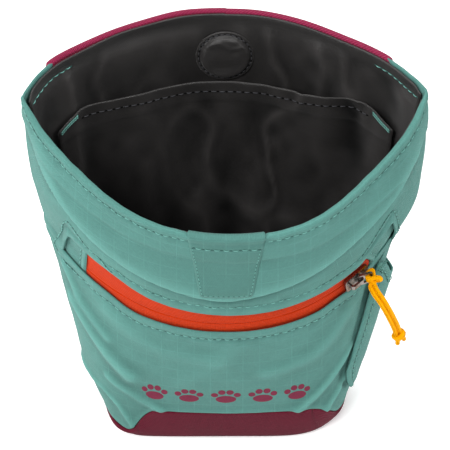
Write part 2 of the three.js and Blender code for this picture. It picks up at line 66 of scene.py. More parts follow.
WEAVE_THICK = 0.6            # of the zipper's tapes and end tabs
ZIP_LEFT, ZIP_RIGHT = -0.705, 0.75   # the zipper's ends
# the zipper's window starts to close at these rounds, and is closed this much farther on
WINDOW_LEFT, WINDOW_RIGHT, WINDOW_CLOSE = 0.73, 0.775, 0.12
MEETING = 79.0               # level where the two front cloths meet beyond the zipper's window
POCKET_EDGE = 112.5          # top edge of the slip pocket inside, at its middle
POCKET_OPEN = 7.5            # depth of its wall where it stands away from the lining
PATCH_OUT = 0.65             # how far the magnet patch stands out from the front cloth
PATCH_SEAM = 5.0             # the patch's topstitching's distance below the rim
CAP_LEVEL = 118.0            # level of the middle of the rear magnet's cap
SIDE_FOOT = 19.5             # level of the bag pocket's bottom
SIDE_TOP = 75.0              # and of its top, beside its front seam
POCKET_HEM = 3.4             # width of the hem along either pocket's open edge
CORD = 1.7                   # the pull cord's diameter
STITCH = 3.0                 # from one stitch to the next
PROUD = 0.02                 # how far a line of stitches lies outside the cloth
FINE = 1.1                   # size of the mesh patches on the cloth

HARD_BEVEL = 0.00018         # on the edges of the metal pieces, in metres

# level, half width, front, back, tilt of the front half in degrees, share of round section
LEVELS = np.array([
    [0, 44.5, 22, 22, 0, 0],
    [16, 50.5, 25, 26, 4, 0.15],
    [48, 57.5, 32, 31.5, 12, 0.6],
    [80, 64.5, 38.5, 36.5, 20.5, 1],
    [108, 71.5, 43.5, 40.5, 25, 1],
    [132, 70, 47, 44, 29, 1],
], float)


# ---------- small sums ----------
def unit(v):
    return v / np.maximum(np.linalg.norm(v, axis=-1, keepdims=True), 1e-9)


def smooth(x):
    u = np.clip(x, 0, 1)
    return u * u * (3 - 2 * u)


def mix(a, b, u):
    return a + (b - a) * u


def hill(distance, width):
    return np.exp(-((distance / width) ** 2))


def noise(x, y, seed):
    """Smooth noise from -1 to 1 that changes over about one unit."""
    x, y = np.broadcast_arrays(np.asarray(x, float), np.asarray(y, float))
    left, low = np.floor(x), np.floor(y)
    u, v = smooth(x - left), smooth(y - low)

    def corner(a, b):
        value = np.sin(a * 127.1 + b * 311.7 + seed * 74.7) * 43758.5453
        return 2 * (value - np.floor(value)) - 1

    bottom = mix(corner(left, low), corner(left + 1, low), u)
    top = mix(corner(left, low + 1), corner(left + 1, low + 1), u)
    return mix(bottom, top, v)


def lengths_along(path):
    """The distance along a path to each of its points."""
    return np.concatenate([[0], np.cumsum(np.linalg.norm(np.diff(path, axis=0), axis=1))])


def at_length(path, steps, at):
    return np.stack([np.interp(at, steps, path[:, c]) for c in range(3)], -1)


# ---------- the shell's surface ----------
def level_at(height):
    knots = LEVELS[:, 0]
    count = len(knots)
    h = np.clip(height, 0, RIM)
    i = np.clip(np.searchsorted(knots, h, side="left") - 1, 0, count - 2)
    lo = np.maximum(np.arange(count) - 1, 0)
    hi = np.minimum(np.arange(count) + 1, count - 1)
    slopes = (LEVELS[hi] - LEVELS[lo]) / (knots[hi] - knots[lo])[:, None]
    span = (knots[i + 1] - knots[i])[..., None]
    u = (h - knots[i])[..., None] / span
    value = (2 * u**3 - 3 * u**2 + 1) * LEVELS[i] + (u**3 - 2 * u**2 + u) * span * slopes[i]
    value = value + (3 * u**2 - 2 * u**3) * LEVELS[i + 1] + (u**3 - u**2) * span * slopes[i + 1]
    return np.moveaxis(value, -1, 0)[1:]


def shell(around, height):
    r, height = np.broadcast_arrays(np.asarray(around, float), np.asarray(height, float))
    r = 2 - np.mod(2 - r, 4)
    width, front, back, tilt, arc = level_at(height)
    faces_front = np.abs(r) <= 1
    a = np.where(faces_front, r, np.sign(r) * (2 - np.abs(r)))
    lean = np.radians(np.where(faces_front, tilt, BACK_LEAN * height / RIM))
    depth = np.where(faces_front, front, back) / np.cos(lean)
    radius = (width**2 + depth**2) / (2 * depth)
    sweep = 2 * np.arctan(depth / width)
    s = np.sin(a * np.pi / 2)
    box_out = depth * np.maximum(0, 1 - np.abs(s) ** 5) ** 0.4
    x = arc * radius * np.sin(a * sweep) + (1 - arc) * width * s
    out = arc * (radius * np.cos(a * sweep) - (radius - depth)) + (1 - arc) * box_out
    side_height = height + front * np.tan(np.radians(tilt))
    way = np.where(faces_front, -1, 1)
    return np.stack([x, way * out * np.cos(lean), side_height + way * out * np.sin(lean)], -1)


def frame_at(around, height):
    """Unit directions along the cloth, up it, and into the pouch."""
    around, height = np.asarray(around, float), np.asarray(height, float)
    along = unit(shell(around + 0.02, height) - shell(around - 0.02, height))
    up = unit(shell(around, height + 0.5) - shell(around, np.maximum(height - 0.5, 0)))
    inward = unit(np.cross(up, along))
    return along, np.cross(along, inward), inward


def lean_out(around, height):
    """How far the worn cloth stands out from the plain shell. Every layer shares it."""
    r = 2 - np.mod(2 - np.asarray(around, float), 4)
    upper = smooth((height - 92) / 34)
    middle = hill(height - 113, 13)
    lower = smooth(height / 16) * (1 - smooth((height - 74) / 22))
    out = upper * (1.5 * hill(r - 0.3, 0.2) - 1.5 * hill(np.abs(r) - 0.6, 0.2))
    out = out + upper * (2.4 * hill(r + 1.07, 0.18) + 0.9 * hill(r - 0.98, 0.12))
    out = out - middle * (2.3 * hill(r + 1, 0.22) + 1.0 * hill(r - 1, 0.22))
    out = out + 2.4 * hill(height - 88, 10) * hill(r - 1, 0.22)
    out = out + lower * (1.2 * hill(r + 1, 0.2) - 1.6 * hill(r - 1, 0.3))
    out = out - upper * (1.5 * smooth((np.abs(r) - 1.15) / 0.35) + 1.7 * hill(r - 1.5, 0.28))
    foot = 1 - smooth((height - 3) / 13)
    return out + foot * (1.7 * hill(r + 0.62, 0.17) - 1.0 * hill(r - 0.7, 0.2))


def skin(around, height, depth):
    around, height, depth = np.broadcast_arrays(around, height, depth)
    inward = frame_at(around, height)[2]
    return shell(around, height) + inward * (depth - lean_out(around, height))[..., None]


# ---------- lines on the cloth ----------
def upper_lip(r):
    off = np.abs(r)
    lifted = 8 * r * r - 2.5 * r + 3.2 * smooth((-r - 0.3) / 0.25) + 9 * smooth((r - 0.62) / 0.15)
    closing = np.clip((off - np.where(r < 0, WINDOW_LEFT, WINDOW_RIGHT)) / WINDOW_CLOSE, 0, 1)
    return mix(ZIP + 5.8 + lifted, MEETING + GAP / 2, closing)


def lower_lip(r):
    off = np.abs(r)
    raised = 1.5 * r * r + 2.8 * smooth((off - 0.42) / 0.2) - 2.6 * hill(r - 0.65, 0.09)
    return mix(ZIP - 5.4 + raised, MEETING - GAP / 2, smooth((off - 0.74) / WINDOW_CLOSE))


def zip_line(r):
    """Where the two tapes meet. It sags a little in the middle."""
    return ZIP - 1.3 * np.maximum(0, 1 - (r / 0.5) ** 2)


def fold_line(r):
    return 99.5 + 23 * np.abs(r) ** 1.3


def hem_line(r):
    return 119.8 - 2.5 * r


def boot_top(r):
    """High across the front and the back, low round both sides."""
    r = 2 - np.mod(2 - r, 4)
    right = r > 0
    to_corner = np.abs(np.minimum(np.abs(r), 4 - np.abs(r)) - 1)
    middle = smooth((to_corner - np.where(right, 0.17, 0.41)) / np.where(right, 0.4, 0.24))
    return mix(BOOT_SIDE, BOOT, middle) + 0.35 * noise(r * 9, r * 0, 42) * middle


def tape_left(level):
    return -0.712 + 0.075 * np.clip((level - 80) / 14.4, 0, 1.2)


def tape_right(level):
    return 0.745 - 0.0112 * np.maximum(level - 80.5, -1)


def rim_at(r):
    """The rim's level. The left corner hangs a little."""
    r = 2 - np.mod(2 - r, 4)
    return RIM - 2.3 * hill(r + 1.0, 0.16) + 0.25 * noise(r * 6, r * 0, 43) * smooth((np.abs(r) - 1.1) / 0.2)


def rim_top(r):
    """The top of the front cloth's fold. The magnet patch goes over it, so it is lower there."""
    return rim_at(r) - 0.1 + 0.9 * smooth((np.abs(r) - 0.13) / 0.03)


def pocket_seam(level):
    upper = 0.06 * smooth((level - 45) / 25)
    bend = 0.065 * hill(level - 32, 10)
    foot = 0.04 * (1 - smooth((level - 18) / 8))
    return 0.745 + upper - bend + foot


def near_line(r, level, points):
    """Distance in mm from a broken line of (round, level) points."""
    x, y = r * ARC, level
    best = np.full(np.broadcast(x, y).shape, 1e9)
    for (r0, l0), (r1, l1) in zip(points, points[1:]):
        ax, ay, bx, by = r0 * ARC, l0, r1 * ARC, l1
        share = ((x - ax) * (bx - ax) + (y - ay) * (by - ay)) / ((bx - ax) ** 2 + (by - ay) ** 2)
        share = np.clip(share, 0, 1)
        best = np.minimum(best, np.hypot(x - mix(ax, bx, share), y - mix(ay, by, share)))
    return best


# ---------- relief of the front cloth ----------
RIM_SEAM = 2.4                # the topstitching's distance below the rim
LIP_SEAM = 4.8                # and from the zipper's lips
CREASES = [                   # (round, level) points, width, height
    ([(-0.86, 58), (-0.66, 47), (-0.5, 38)], 3.6, 1.3),
    ([(-0.66, 32), (-0.5, 27), (-0.33, 19.5)], 1.7, 0.75),
    ([(-0.97, 24), (-0.72, 22), (-0.61, 17), (-0.53, 8)], 1.5, 0.8),
    ([(0.70, 44), (0.56, 33), (0.37, 19)], 1.9, 0.9),
    ([(0.70, 28), (0.6, 19), (0.52, 12)], 2.0, 0.8),
    ([(0.62, 64), (0.45, 52), (0.2, 46)], 4.0, 0.7),
    ([(-0.6, 68), (-0.3, 58), (-0.05, 56)], 4.5, 0.5),
    ([(-0.88, 72), (-0.8, 62), (-0.62, 54)], 2.2, 0.8),
    ([(-0.2, 40), (-0.05, 52), (0.02, 66)], 5.0, 0.35),
]


def seam_relief(r, distance):
    """A sewn line pulls the cloth in, and it puckers on both sides of the line."""
    pucker = 0.10 * np.sin(2 * np.pi * r * ARC / (STITCH * 2.1)) + 0.16 * noise(r * ARC / 4.5, distance, 5)
    return -0.34 * hill(distance, 0.8) + pucker * hill(distance, 3.4)


def front_relief(r, level):
    """How far the front cloth stands out, in mm."""
    r, level = np.broadcast_arrays(np.asarray(r, float), np.asarray(level, float))
    across = r * ARC
    rise = 0.45 * noise(across / 30, level / 22, 1) + 0.12 * noise(across / 9, level / 7, 2)
    rise = rise + 0.05 * noise(across / 3.5, level / 3.5, 3)
    # the hem is doubled cloth, and the facing's edge shows as a soft ledge below it
    rise = rise + 0.5 * smooth((level - hem_line(r)) / 1.2)
    ledge = fold_line(r) - level + 0.8 * noise(across / 18, level * 0, 6)
    ridge = 2.7 * np.where(ledge > 0, hill(ledge, 1.9), hill(ledge, 12)) - 0.5 * hill(ledge - 3.4, 1.6)
    rise = rise + ridge * smooth((1.04 - np.abs(r)) / 0.3)
    rise = rise + seam_relief(r, level - (rim_at(r) - RIM_SEAM))
    above = level > MEETING
    lip = np.where(above, level - upper_lip(r), lower_lip(r) - level)
    rise = rise + seam_relief(r, lip - LIP_SEAM) + 0.3 * hill(lip - 1.8, 2.0)
    off = np.abs(r)
    gape = smooth((off - 0.7) / 0.05) * (1 - smooth((off - 0.88) / 0.05)) * above
    rise = rise + 0.4 * gape * hill(lip, 2.2)
    rise = rise + 0.45 * hill(level - boot_top(r) - 1.2, 1.6)
    below_end = smooth((r - 0.68) / 0.05) * (1 - smooth((r - 0.9) / 0.05)) * ~above
    rise = rise - 0.7 * below_end * hill(lip, 3)
    for points, width, height in CREASES:
        rise = rise + 1.35 * height * hill(near_line(r, level, points), width)
    # the side turns away behind the lower left crease
    behind = smooth((-r - 0.56 - 0.004 * (level - 8)) / 0.12) * (1 - smooth((level - 16) / 9))
    rise = rise - 0.8 * behind
    # tension lines fan out from the boot's corners, and the cloth dips beside the bag pocket
    fan = np.sin(across / 5.5 + level / 9) * hill(off - 0.75, 0.3)
    rise = rise + 0.2 * fan * (1 - smooth((level - 20) / 45))
    beside = smooth((76 - level) / 4) * smooth((level - 18) / 6)
    rise = rise - 0.9 * hill(r - pocket_seam(level) + 0.02, 0.03) * beside
    return rise


def lining_depth(r, level):
    from_front = np.minimum(np.abs(r), np.abs(4 - np.abs(r)))
    front = 1 - smooth((from_front - 0.86) / 0.12)
    over_pocket = np.where(from_front < 0.22, RIM - 7, RIM - 24 + 17 * hill(from_front - 0.22, 0.08))
    low = 1 - smooth((level - over_pocket) / 6)
    corner = 0.6 * hill(from_front - 1, 0.06) * (1 - smooth((level - (RIM - 12)) / 8))
    corner = corner - 0.28 * smooth((level - (RIM - 8)) / 6) * smooth((from_front - 0.9) / 0.05)
    foot = 0.5 * (1 - smooth((level - 10) / 30))
    return TAPE + corner + foot + (LINING_DEEP - TAPE) * front * low


def lining_relief(r, level, seed=11):
    """Soft crushed folds, inward. They die out at the rim."""
    across = r * ARC
    from_cap = np.hypot((np.abs(r) - 2) * ARC, level - CAP_LEVEL)
    fade = smooth((RIM - 1.5 - level) / 5) * (1 - 0.85 * hill(from_cap, 11))
    sharp = 1 - np.abs(noise(across / 12 + 0.3 * noise(across / 9, level / 12, 15), level / 42, seed)) * 2
    rise = 1.5 * noise(across / 11, level / 34, seed + 1) + 0.9 * np.maximum(sharp, 0) ** 2
    return fade * (0.5 + rise + 0.22 * noise(across / 5, level / 5, seed + 2))


# ---------- meshes ----------
def ridges(depth):
    """How far each place of a grid stands out from its surroundings, in mm."""
    around = np.zeros_like(depth)
    for shift in (3, 6):
        for axis in (0, 1):
            for way in (-shift, shift):
                place = np.clip(np.arange(depth.shape[axis]) + way, 0, depth.shape[axis] - 1)
                around = around + np.take(depth, place, axis=axis) / 8
    return around - depth


def make_mesh(name, points, faces, uv=None, material=None, ridge_shade=None):
    mesh = bpy.data.meshes.new(name)
    mesh.from_pydata((np.asarray(points).reshape(-1, 3) / 1000).tolist(), [], faces)
    mesh.update()
    if uv is not None:
        layer = mesh.uv_layers.new(name="cloth")
        corners = np.zeros(len(mesh.loops), np.int32)
        mesh.loops.foreach_get("vertex_index", corners)
        layer.data.foreach_set("uv", (np.asarray(uv).reshape(-1, 2)[corners] / 1000).ravel())
    # per point ridge heights, which the cloth shader turns into painted highlight on ridges and painted shade
    # in hollows
    if ridge_shade is not None:
        attribute = mesh.attributes.new("ridge_shade", "FLOAT", "POINT")
        attribute.data.foreach_set("value", np.asarray(ridge_shade, np.float32).ravel())
    work = bmesh.new()
    work.from_mesh(mesh)
    bmesh.ops.recalc_face_normals(work, faces=work.faces)
    work.to_mesh(mesh)
    work.free()
    mesh.polygons.foreach_set("use_smooth", [True] * len(mesh.polygons))
    if material:
        mesh.materials.append(material)
    obj = bpy.data.objects.new(name, mesh)
    bpy.context.scene.collection.objects.link(obj)
    return obj


def loop_faces(columns, count, first=0):
    """Quads between columns of closed rings, with the end rings filled in."""
    faces = []
    for i in range(columns - 1):
        a, b = first + i * count, first + (i + 1) * count
        for j in range(count):
            k = (j + 1) % count
            faces.append((a + j, b + j, b + k, a + k))
    last = first + (columns - 1) * count
    faces.append(tuple(range(first, first + count)))
    faces.append(tuple(range(last, last + count))[::-1])
    return faces


def band_faces(columns, count):
    """Quads between columns that stand all round in a circle, each count points long."""
    faces = []
    for i in range(columns):
        a, b = i * count, ((i + 1) % columns) * count
        for j in range(count - 1):
            faces.append((a + j, b + j, b + j + 1, a + j + 1))
    return faces


def cloth(name, rounds, low, high, outer, thick, material, fine=FINE, fold=0.0, bend=None):
    """A closed sheet between two lines, each a level for each round. Its upper and lower edges are
    rounded. fold is how far the top edge is folded inwards. bend moves a round, to give slanted ends."""
    rounds = np.asarray(rounds, float)[:, None]
    bottom = low(rounds) if callable(low) else np.full_like(rounds, low)
    top = high(rounds) if callable(high) else np.full_like(rounds, high)
    half = thick / 2
    rows = max(int(np.max(top - bottom) / fine), 3)
    face = bottom + half + (top - bottom - thick) * np.linspace(0, 1, rows)[None, :]
    turn = np.linspace(0, np.pi, 6)[None, 1:-1]
    over = top - half + half * np.sin(turn)
    under = bottom + half - half * np.sin(turn)
    levels = np.concatenate([face, over, face[:, ::-1], under], 1)
    reach = np.maximum(fold(rounds) if callable(fold) else fold, thick)
    edge_inset = np.broadcast_to(1 - np.cos(turn), over.shape) / 2
    back_inset = thick + (reach - thick) * smooth((face[:, ::-1] - top + 1.9) / 0.8)
    inset = np.concatenate([face * 0, edge_inset * reach, back_inset, edge_inset[:, ::-1] * thick], 1)
    lengths = np.clip(levels, bottom + half, top - half)
    places = rounds + levels * 0
    if bend:
        places = bend(places, lengths)
    depth = outer(places, lengths)
    points = skin(places, levels, depth + inset)
    # how far each place stands out from its neighbours: the shader paints highlight on ridges and shade in
    # hollows from it
    proud = ridges(depth[:, :rows])
    none = np.zeros((len(rounds), turn.shape[1]))
    ridge_shade = np.concatenate([proud, none, -proud[:, ::-1], none], 1)
    steps = np.linalg.norm(np.diff(points, axis=0), axis=-1)
    along = np.concatenate([np.zeros((1, points.shape[1])), np.cumsum(steps, 0)])
    middle = np.argmin(np.abs(rounds[:, 0] - np.round(rounds.mean())))
    uv = np.stack([along - along[middle], levels - inset], -1)
    return make_mesh(name, points, loop_faces(len(rounds), points.shape[1]), uv, material, ridge_shade)


def spread(first, last, fine=FINE):
    return np.linspace(first, last, max(int((last - first) * ARC / fine), 4))


def tube(name, path, radius, sides, material):
    """A round cord along a path of points, with its ends closed to a soft dome."""
    path = np.asarray(path, float)
    tangents = unit(np.gradient(path, axis=0))
    normal = unit(np.cross(tangents[0], [0.3, 0.2, 0.9]))
    dome = radius * 0.5
    path = np.vstack([path[0] - tangents[0] * dome, path, path[-1] + tangents[-1] * dome])
    tangents = np.vstack([tangents[:1], tangents, tangents[-1:]])
    radii = np.full(len(path), radius)
    radii[[0, -1]] = radius * 0.55
    around = np.linspace(0, 2 * np.pi, sides, endpoint=False)
    rings = []
    for point, tangent, size in zip(path, tangents, radii):
        normal = unit(normal - tangent * np.dot(normal, tangent))
        side = np.cross(tangent, normal)
        rings.append(point + size * (np.cos(around)[:, None] * normal + np.sin(around)[:, None] * side))
    uv = np.stack(np.broadcast_arrays((around * radius)[None, :], lengths_along(path)[:, None]), -1)
    return make_mesh(name, np.array(rings), loop_faces(len(rings), sides), uv, material)


def curve_through(points, count):
    """Catmull-Rom through the points."""
    points = np.asarray(points, float)
    padded = np.vstack([2 * points[0] - points[1], points, 2 * points[-1] - points[-2]])
    out = []
    for t in np.linspace(0, len(points) - 1, count):
        i = min(int(t), len(points) - 2)
        u = t - i
        a, b, c, d = padded[i:i + 4]
        square = (2 * a - 5 * b + 4 * c - d) * u**2
        cube = (3 * b - a - 3 * c + d) * u**3
        out.append(0.5 * (2 * b + (c - a) * u + square + cube))
    return np.array(out)


def stitches(name, runs, materials, pitch=STITCH, length=2.1, thick=0.5):
    """Threads that come up through the cloth and go down again at needle holes, which are dark discs of
    painted shade.

    A run is (points, outward directions). materials are the thread's and the painted shade's at the holes."""
    points, faces = [], []
    sides, rings = 6, 6
    around = np.linspace(0, 2 * np.pi, sides, endpoint=False)
    circle_cos, circle_sin = np.cos(around)[:, None], np.sin(around)[:, None]
    share = np.linspace(-1, 1, rings)
    lift = (thick * (0.42 - 0.75 * share**4))[:, None]
    size = thick / 2 * np.sqrt(1 - 0.8 * share**6)
    for path, outward in runs:
        steps = lengths_along(path)
        count = int(steps[-1] / pitch)
        for k in range(count):
            at = (k + 0.5) * steps[-1] / count + share * length / 2
            middle = at_length(path, steps, at)
            out = unit(at_length(outward, steps, at))
            side = unit(np.cross(unit(middle[-1] - middle[0]), out))
            middle = middle + out * lift
            faces.extend(loop_faces(rings, sides, len(points)))
            for c in range(rings):
                points.extend(middle[c] + size[c] * (circle_cos * out[c] * 0.8 + circle_sin * side[c]))
    threads = len(faces)
    # dark discs of painted shade at the needle holes
    hole_long, hole_wide = (pitch - length) * 0.62, thick * 0.75
    for path, outward in runs:
        steps = lengths_along(path)
        count = int(steps[-1] / pitch)
        for k in range(count + 1):
            at = np.clip(k * steps[-1] / count, 0.1, steps[-1] - 0.1)
            centre = at_length(path, steps, at)
            out = unit(at_length(outward, steps, at))
            way = unit(at_length(path, steps, at + 0.1) - centre)
            side = unit(np.cross(way, out))
            faces.extend(loop_faces(3, sides, len(points)))
            ring = circle_cos * way * hole_long + circle_sin * side * hole_wide
            for shrink, rise in ((1.0, -0.1), (1.0, 0.06), (0.5, 0.1)):
                points.extend(centre + shrink * ring + rise * out)
    obj = make_mesh(name, np.array(points), faces, None, materials[0])
    obj.data.materials.append(materials[1])
    which = np.zeros(len(faces), np.int32)
    which[threads:] = 1
    obj.data.polygons.foreach_set("material_index", which)
    return obj


def run_on(rounds, levels, depth, outside=True):
    """A run for stitches() over the cloth."""
    rounds, levels = np.broadcast_arrays(np.asarray(rounds, float), np.asarray(levels, float))
    inward = frame_at(rounds, levels)[2]
    return skin(rounds, levels, depth), -inward if outside else inward


def front_run(rounds, levels, out=PROUD):
    return run_on(rounds, levels, -front_relief(rounds, levels) - out)


# ---------- materials ----------
def nodes_of(name, colour, roughness, metallic=0.0):
    material = bpy.data.materials.new(name)
    material.use_nodes = True
    tree = material.node_tree
    shader = tree.nodes["Principled BSDF"]
    shader.inputs["Roughness"].default_value = roughness
    shader.inputs["Metallic"].default_value = metallic
    shader.inputs["Base Color"].default_value = (*colour, 1)
    shader.inputs["Specular IOR Level"].default_value = 0.5 if metallic or roughness < 0.4 else 0.08
    return material, tree, shader


def maths(tree, operation, a, b=None, c=None):
    made = tree.nodes.new("ShaderNodeMath")
    made.operation = operation
    for socket, value in zip(made.inputs, (a, b, c)):
        if value is None:
            continue
        if isinstance(value, (int, float)):
            socket.default_value = value
        else:
            tree.links.new(value, socket)
    return made.outputs[0]


def plus(tree, total, *terms):
    """total with a share of each of some other values added to it."""
    for value, share in terms:
        total = maths(tree, "MULTIPLY_ADD", value, share, total)
    return total


def remap(tree, value, low, high, to_low, to_high):
    made = tree.nodes.new("ShaderNodeMapRange")
    tree.links.new(value, made.inputs["Value"])
    for key, number in (("From Min", low), ("From Max", high), ("To Min", to_low), ("To Max", to_high)):
        made.inputs[key].default_value = number
    return made.outputs["Result"]


def cloth_axes(tree):
    uv = tree.nodes.new("ShaderNodeUVMap")
    uv.uv_map = "cloth"
    parts = tree.nodes.new("ShaderNodeSeparateXYZ")
    tree.links.new(uv.outputs["UV"], parts.inputs[0])
    return uv.outputs["UV"], parts.outputs["X"], parts.outputs["Y"]


def grain(tree, scale, detail=2.0, roughness=0.5):
    place = tree.nodes.new("ShaderNodeTexCoord")
    made = tree.nodes.new("ShaderNodeTexNoise")
    made.inputs["Scale"].default_value = scale
    made.inputs["Detail"].default_value = detail
    made.inputs["Roughness"].default_value = roughness
    tree.links.new(place.outputs["Object"], made.inputs["Vector"])
    return made.outputs["Fac"]


def tint(tree, colour, amount):
    """colour times amount, where amount is a socket near 1."""
    made = tree.nodes.new("ShaderNodeVectorMath")
    made.operation = "SCALE"
    made.inputs[0].default_value = colour
    tree.links.new(amount, made.inputs["Scale"])
    return made.outputs["Vector"]


def wave(tree, value, period):
    """Sine of a length in metres."""
    return maths(tree, "SINE", maths(tree, "MULTIPLY", value, 2 * math.pi / period))


def raise_by(tree, shader, height, distance, strength=1.0):
    bump = tree.nodes.new("ShaderNodeBump")
    bump.inputs["Strength"].default_value = strength
    bump.inputs["Distance"].default_value = distance
    tree.links.new(height, bump.inputs["Height"])
    tree.links.new(bump.outputs["Normal"], shader.inputs["Normal"])


def edge_wear_and_shade(tree):
    """Above 0 on sharp edges and ridges, as wear and as painted highlight; below 0 in hollows, as painted
    shade.
    """
    geometry = tree.nodes.new("ShaderNodeNewGeometry")
    return remap(tree, geometry.outputs["Pointiness"], 0.44, 0.56, -1, 1)


def speckle(tree, scale, detail=2, roughness=0.7):
    """Fine grain, from about -0.5 to 0.5."""
    return maths(tree, "SUBTRACT", grain(tree, scale, detail, roughness), 0.5)


def finish(tree, shader, colour, light, height, distance, strength):
    """colour in the lightness given, over a surface raised by height."""
    tree.links.new(tint(tree, colour, light), shader.inputs["Base Color"])
    raise_by(tree, shader, height, distance, strength)


def woven(name, colour, thread, roughness, check=0.0, sheen=0.06, contrast=0.10, rub_and_shade=0.08, fold_shading=0.32):
    """Plain weave, with a ripstop check of heavier threads if check is above 0.

    Sharp edges are lightened, as wear and as painted highlight, and hollows darkened as painted shade; the
    mesh's ridge attribute paints highlights on ridges and shade in hollows. The second-last and the last
    arguments set how much of each."""
    material, tree, shader = nodes_of(name, colour, roughness)
    _, u, v = cloth_axes(tree)
    weave = maths(tree, "MULTIPLY", wave(tree, u, thread), wave(tree, v, thread))
    height = weave
    light = plus(tree, 1.0, (weave, contrast * 0.5))
    if check:
        lines = []
        for axis in (u, v):
            off = maths(tree, "PINGPONG", axis, check / 2)
            lines.append(remap(tree, off, thread * 0.1, thread * 0.4, 1, 0))
        broken = remap(tree, grain(tree, 120, 1), 0.35, 0.65, 0.15, 1)
        grid = maths(tree, "MULTIPLY", maths(tree, "MAXIMUM", *lines), broken)
        height = plus(tree, height, (grid, 1.0))
        light = plus(tree, light, (grid, 0.16))
    patches = speckle(tree, 38, 3, 0.5)
    specks = speckle(tree, 900)
    # sharp edges lighter and hollows darker: edge wear, painted highlight and painted shade
    light = plus(tree, light, (patches, 0.22), (specks, contrast * 2.4), (edge_wear_and_shade(tree), rub_and_shade))
    # painted highlight on the cloth's ridges and painted shade in its hollows, from the mesh's ridge
    # attribute
    ridge_shade = tree.nodes.new("ShaderNodeAttribute")
    ridge_shade.attribute_name = "ridge_shade"
    light = maths(tree, "ADD", remap(tree, ridge_shade.outputs["Fac"], -0.8, 0.8, -fold_shading, fold_shading), light)
    tree.links.new(plus(tree, roughness, (patches, 0.2)), shader.inputs["Roughness"])
    height = plus(tree, height, (specks, 1.5))
    finish(tree, shader, colour, light, height, thread * 0.12, 0.75)
    shader.inputs["Sheen Weight"].default_value = sheen
    shader.inputs["Sheen Roughness"].default_value = 0.4
    return material


def webbing(name, colour, rib, roughness):
    """Twill tape: slanted ribs crossed by fine threads."""
    material, tree, shader = nodes_of(name, colour, roughness)
    _, u, v = cloth_axes(tree)
    slant = maths(tree, "ADD", u, maths(tree, "PINGPONG", v, rib * 2))
    ribs = plus(tree, 0.5, (wave(tree, slant, rib), 0.5))
    height = plus(tree, ribs, (wave(tree, v, rib * 0.35), 0.2))
    # sharp edges lighter as wear and painted highlight, hollows darker as painted shade
    light = plus(tree, 0.82, (ribs, 0.3), (speckle(tree, 700), 0.3), (edge_wear_and_shade(tree), 0.1))
    finish(tree, shader, colour, light, height, rib * 0.3, 0.9)
    shader.inputs["Sheen Weight"].default_value = 0.06
    return material


def zip_tape(name, colour):
    """Zipper tape: fine ribs along it, crossed by threads."""
    material, tree, shader = nodes_of(name, colour, 0.78)
    _, u, v = cloth_axes(tree)
    height = plus(tree, wave(tree, v, 0.0009), (wave(tree, u, 0.0006), 0.6))
    light = plus(tree, 1.0, (height, 0.05), (speckle(tree, 800), 0.3))
    finish(tree, shader, colour, light, height, 0.00012, 0.7)
    shader.inputs["Sheen Weight"].default_value = 0.03
    return material


def hard(name, colour, roughness, metallic=1.0):
    """Metal or plastic with fine scratches, and sharp edges lightened as wear and as painted highlight."""
    material, tree, shader = nodes_of(name, colour, roughness, metallic)
    shader.inputs["Specular IOR Level"].default_value = 0.5
    scratches = speckle(tree, 420, 6, 0.75)
    # sharp edges lighter: wear, and painted highlight
    light = plus(tree, 1.0, (scratches, 0.5), (maths(tree, "MAXIMUM", edge_wear_and_shade(tree), 0.0), 2.2))
    tree.links.new(plus(tree, roughness, (scratches, 0.3)), shader.inputs["Roughness"])
    finish(tree, shader, colour, light, scratches, 0.00004, 0.4)
    return material


def braid(name, colour):
    """Braided cord: two sets of threads that cross round it."""
    material, tree, shader = nodes_of(name, colour, 0.62)
    _, u, v = cloth_axes(tree)
    one = wave(tree, maths(tree, "ADD", u, v), 0.00105)
    two = wave(tree, maths(tree, "SUBTRACT", u, v), 0.00105)
    height = maths(tree, "MAXIMUM", one, two)
    light = plus(tree, 0.93, (height, 0.10), (speckle(tree, 900), 0.25))
    finish(tree, shader, colour, light, height, 0.00016, 0.8)
    shader.inputs["Specular IOR Level"].default_value = 0.03
    return material


def thread(name, colour):
    material, tree, shader = nodes_of(name, colour, 0.6)
    twist = grain(tree, 1600, 1)
    light = plus(tree, 0.75, (twist, 0.5))
    finish(tree, shader, colour, light, twist, 0.00008, 0.6)
    return material


def ink(name, colour):
    """Print on cloth: the weave shows through, and it is a little worn."""
    material, tree, shader = nodes_of(name, colour, 0.7)
    _, u, v = cloth_axes(tree)
    weave = maths(tree, "MULTIPLY", wave(tree, u, 0.0007), wave(tree, v, 0.0007))
    light = plus(tree, 1.0, (weave, 0.08), (speckle(tree, 900), 0.35))
    finish(tree, shader, colour, light, weave, 0.00008, 0.6)
    return material


TEAL = (0.080, 0.212, 0.187)
PATCH_TEAL = (0.069, 0.180, 0.158)
BURGUNDY = (0.100, 0.007, 0.019)
WEB = (0.26, 0.016, 0.060)
CHARCOAL = (0.019, 0.0175, 0.017)
ORANGE = (0.47, 0.029, 0.001)
YELLOW = (0.98, 0.41, 0.001)

teal_cloth = woven("teal_ripstop", TEAL, 0.0007, 0.72, check=0.006)
patch_teal = woven("teal_patch_cloth", PATCH_TEAL, 0.0007, 0.72, check=0.006)
plain_teal = woven("teal_plain_cloth", TEAL, 0.0007, 0.72, contrast=0.12)
burgundy_cloth = woven("burgundy_canvas", BURGUNDY, 0.0010, 0.8, contrast=0.25)
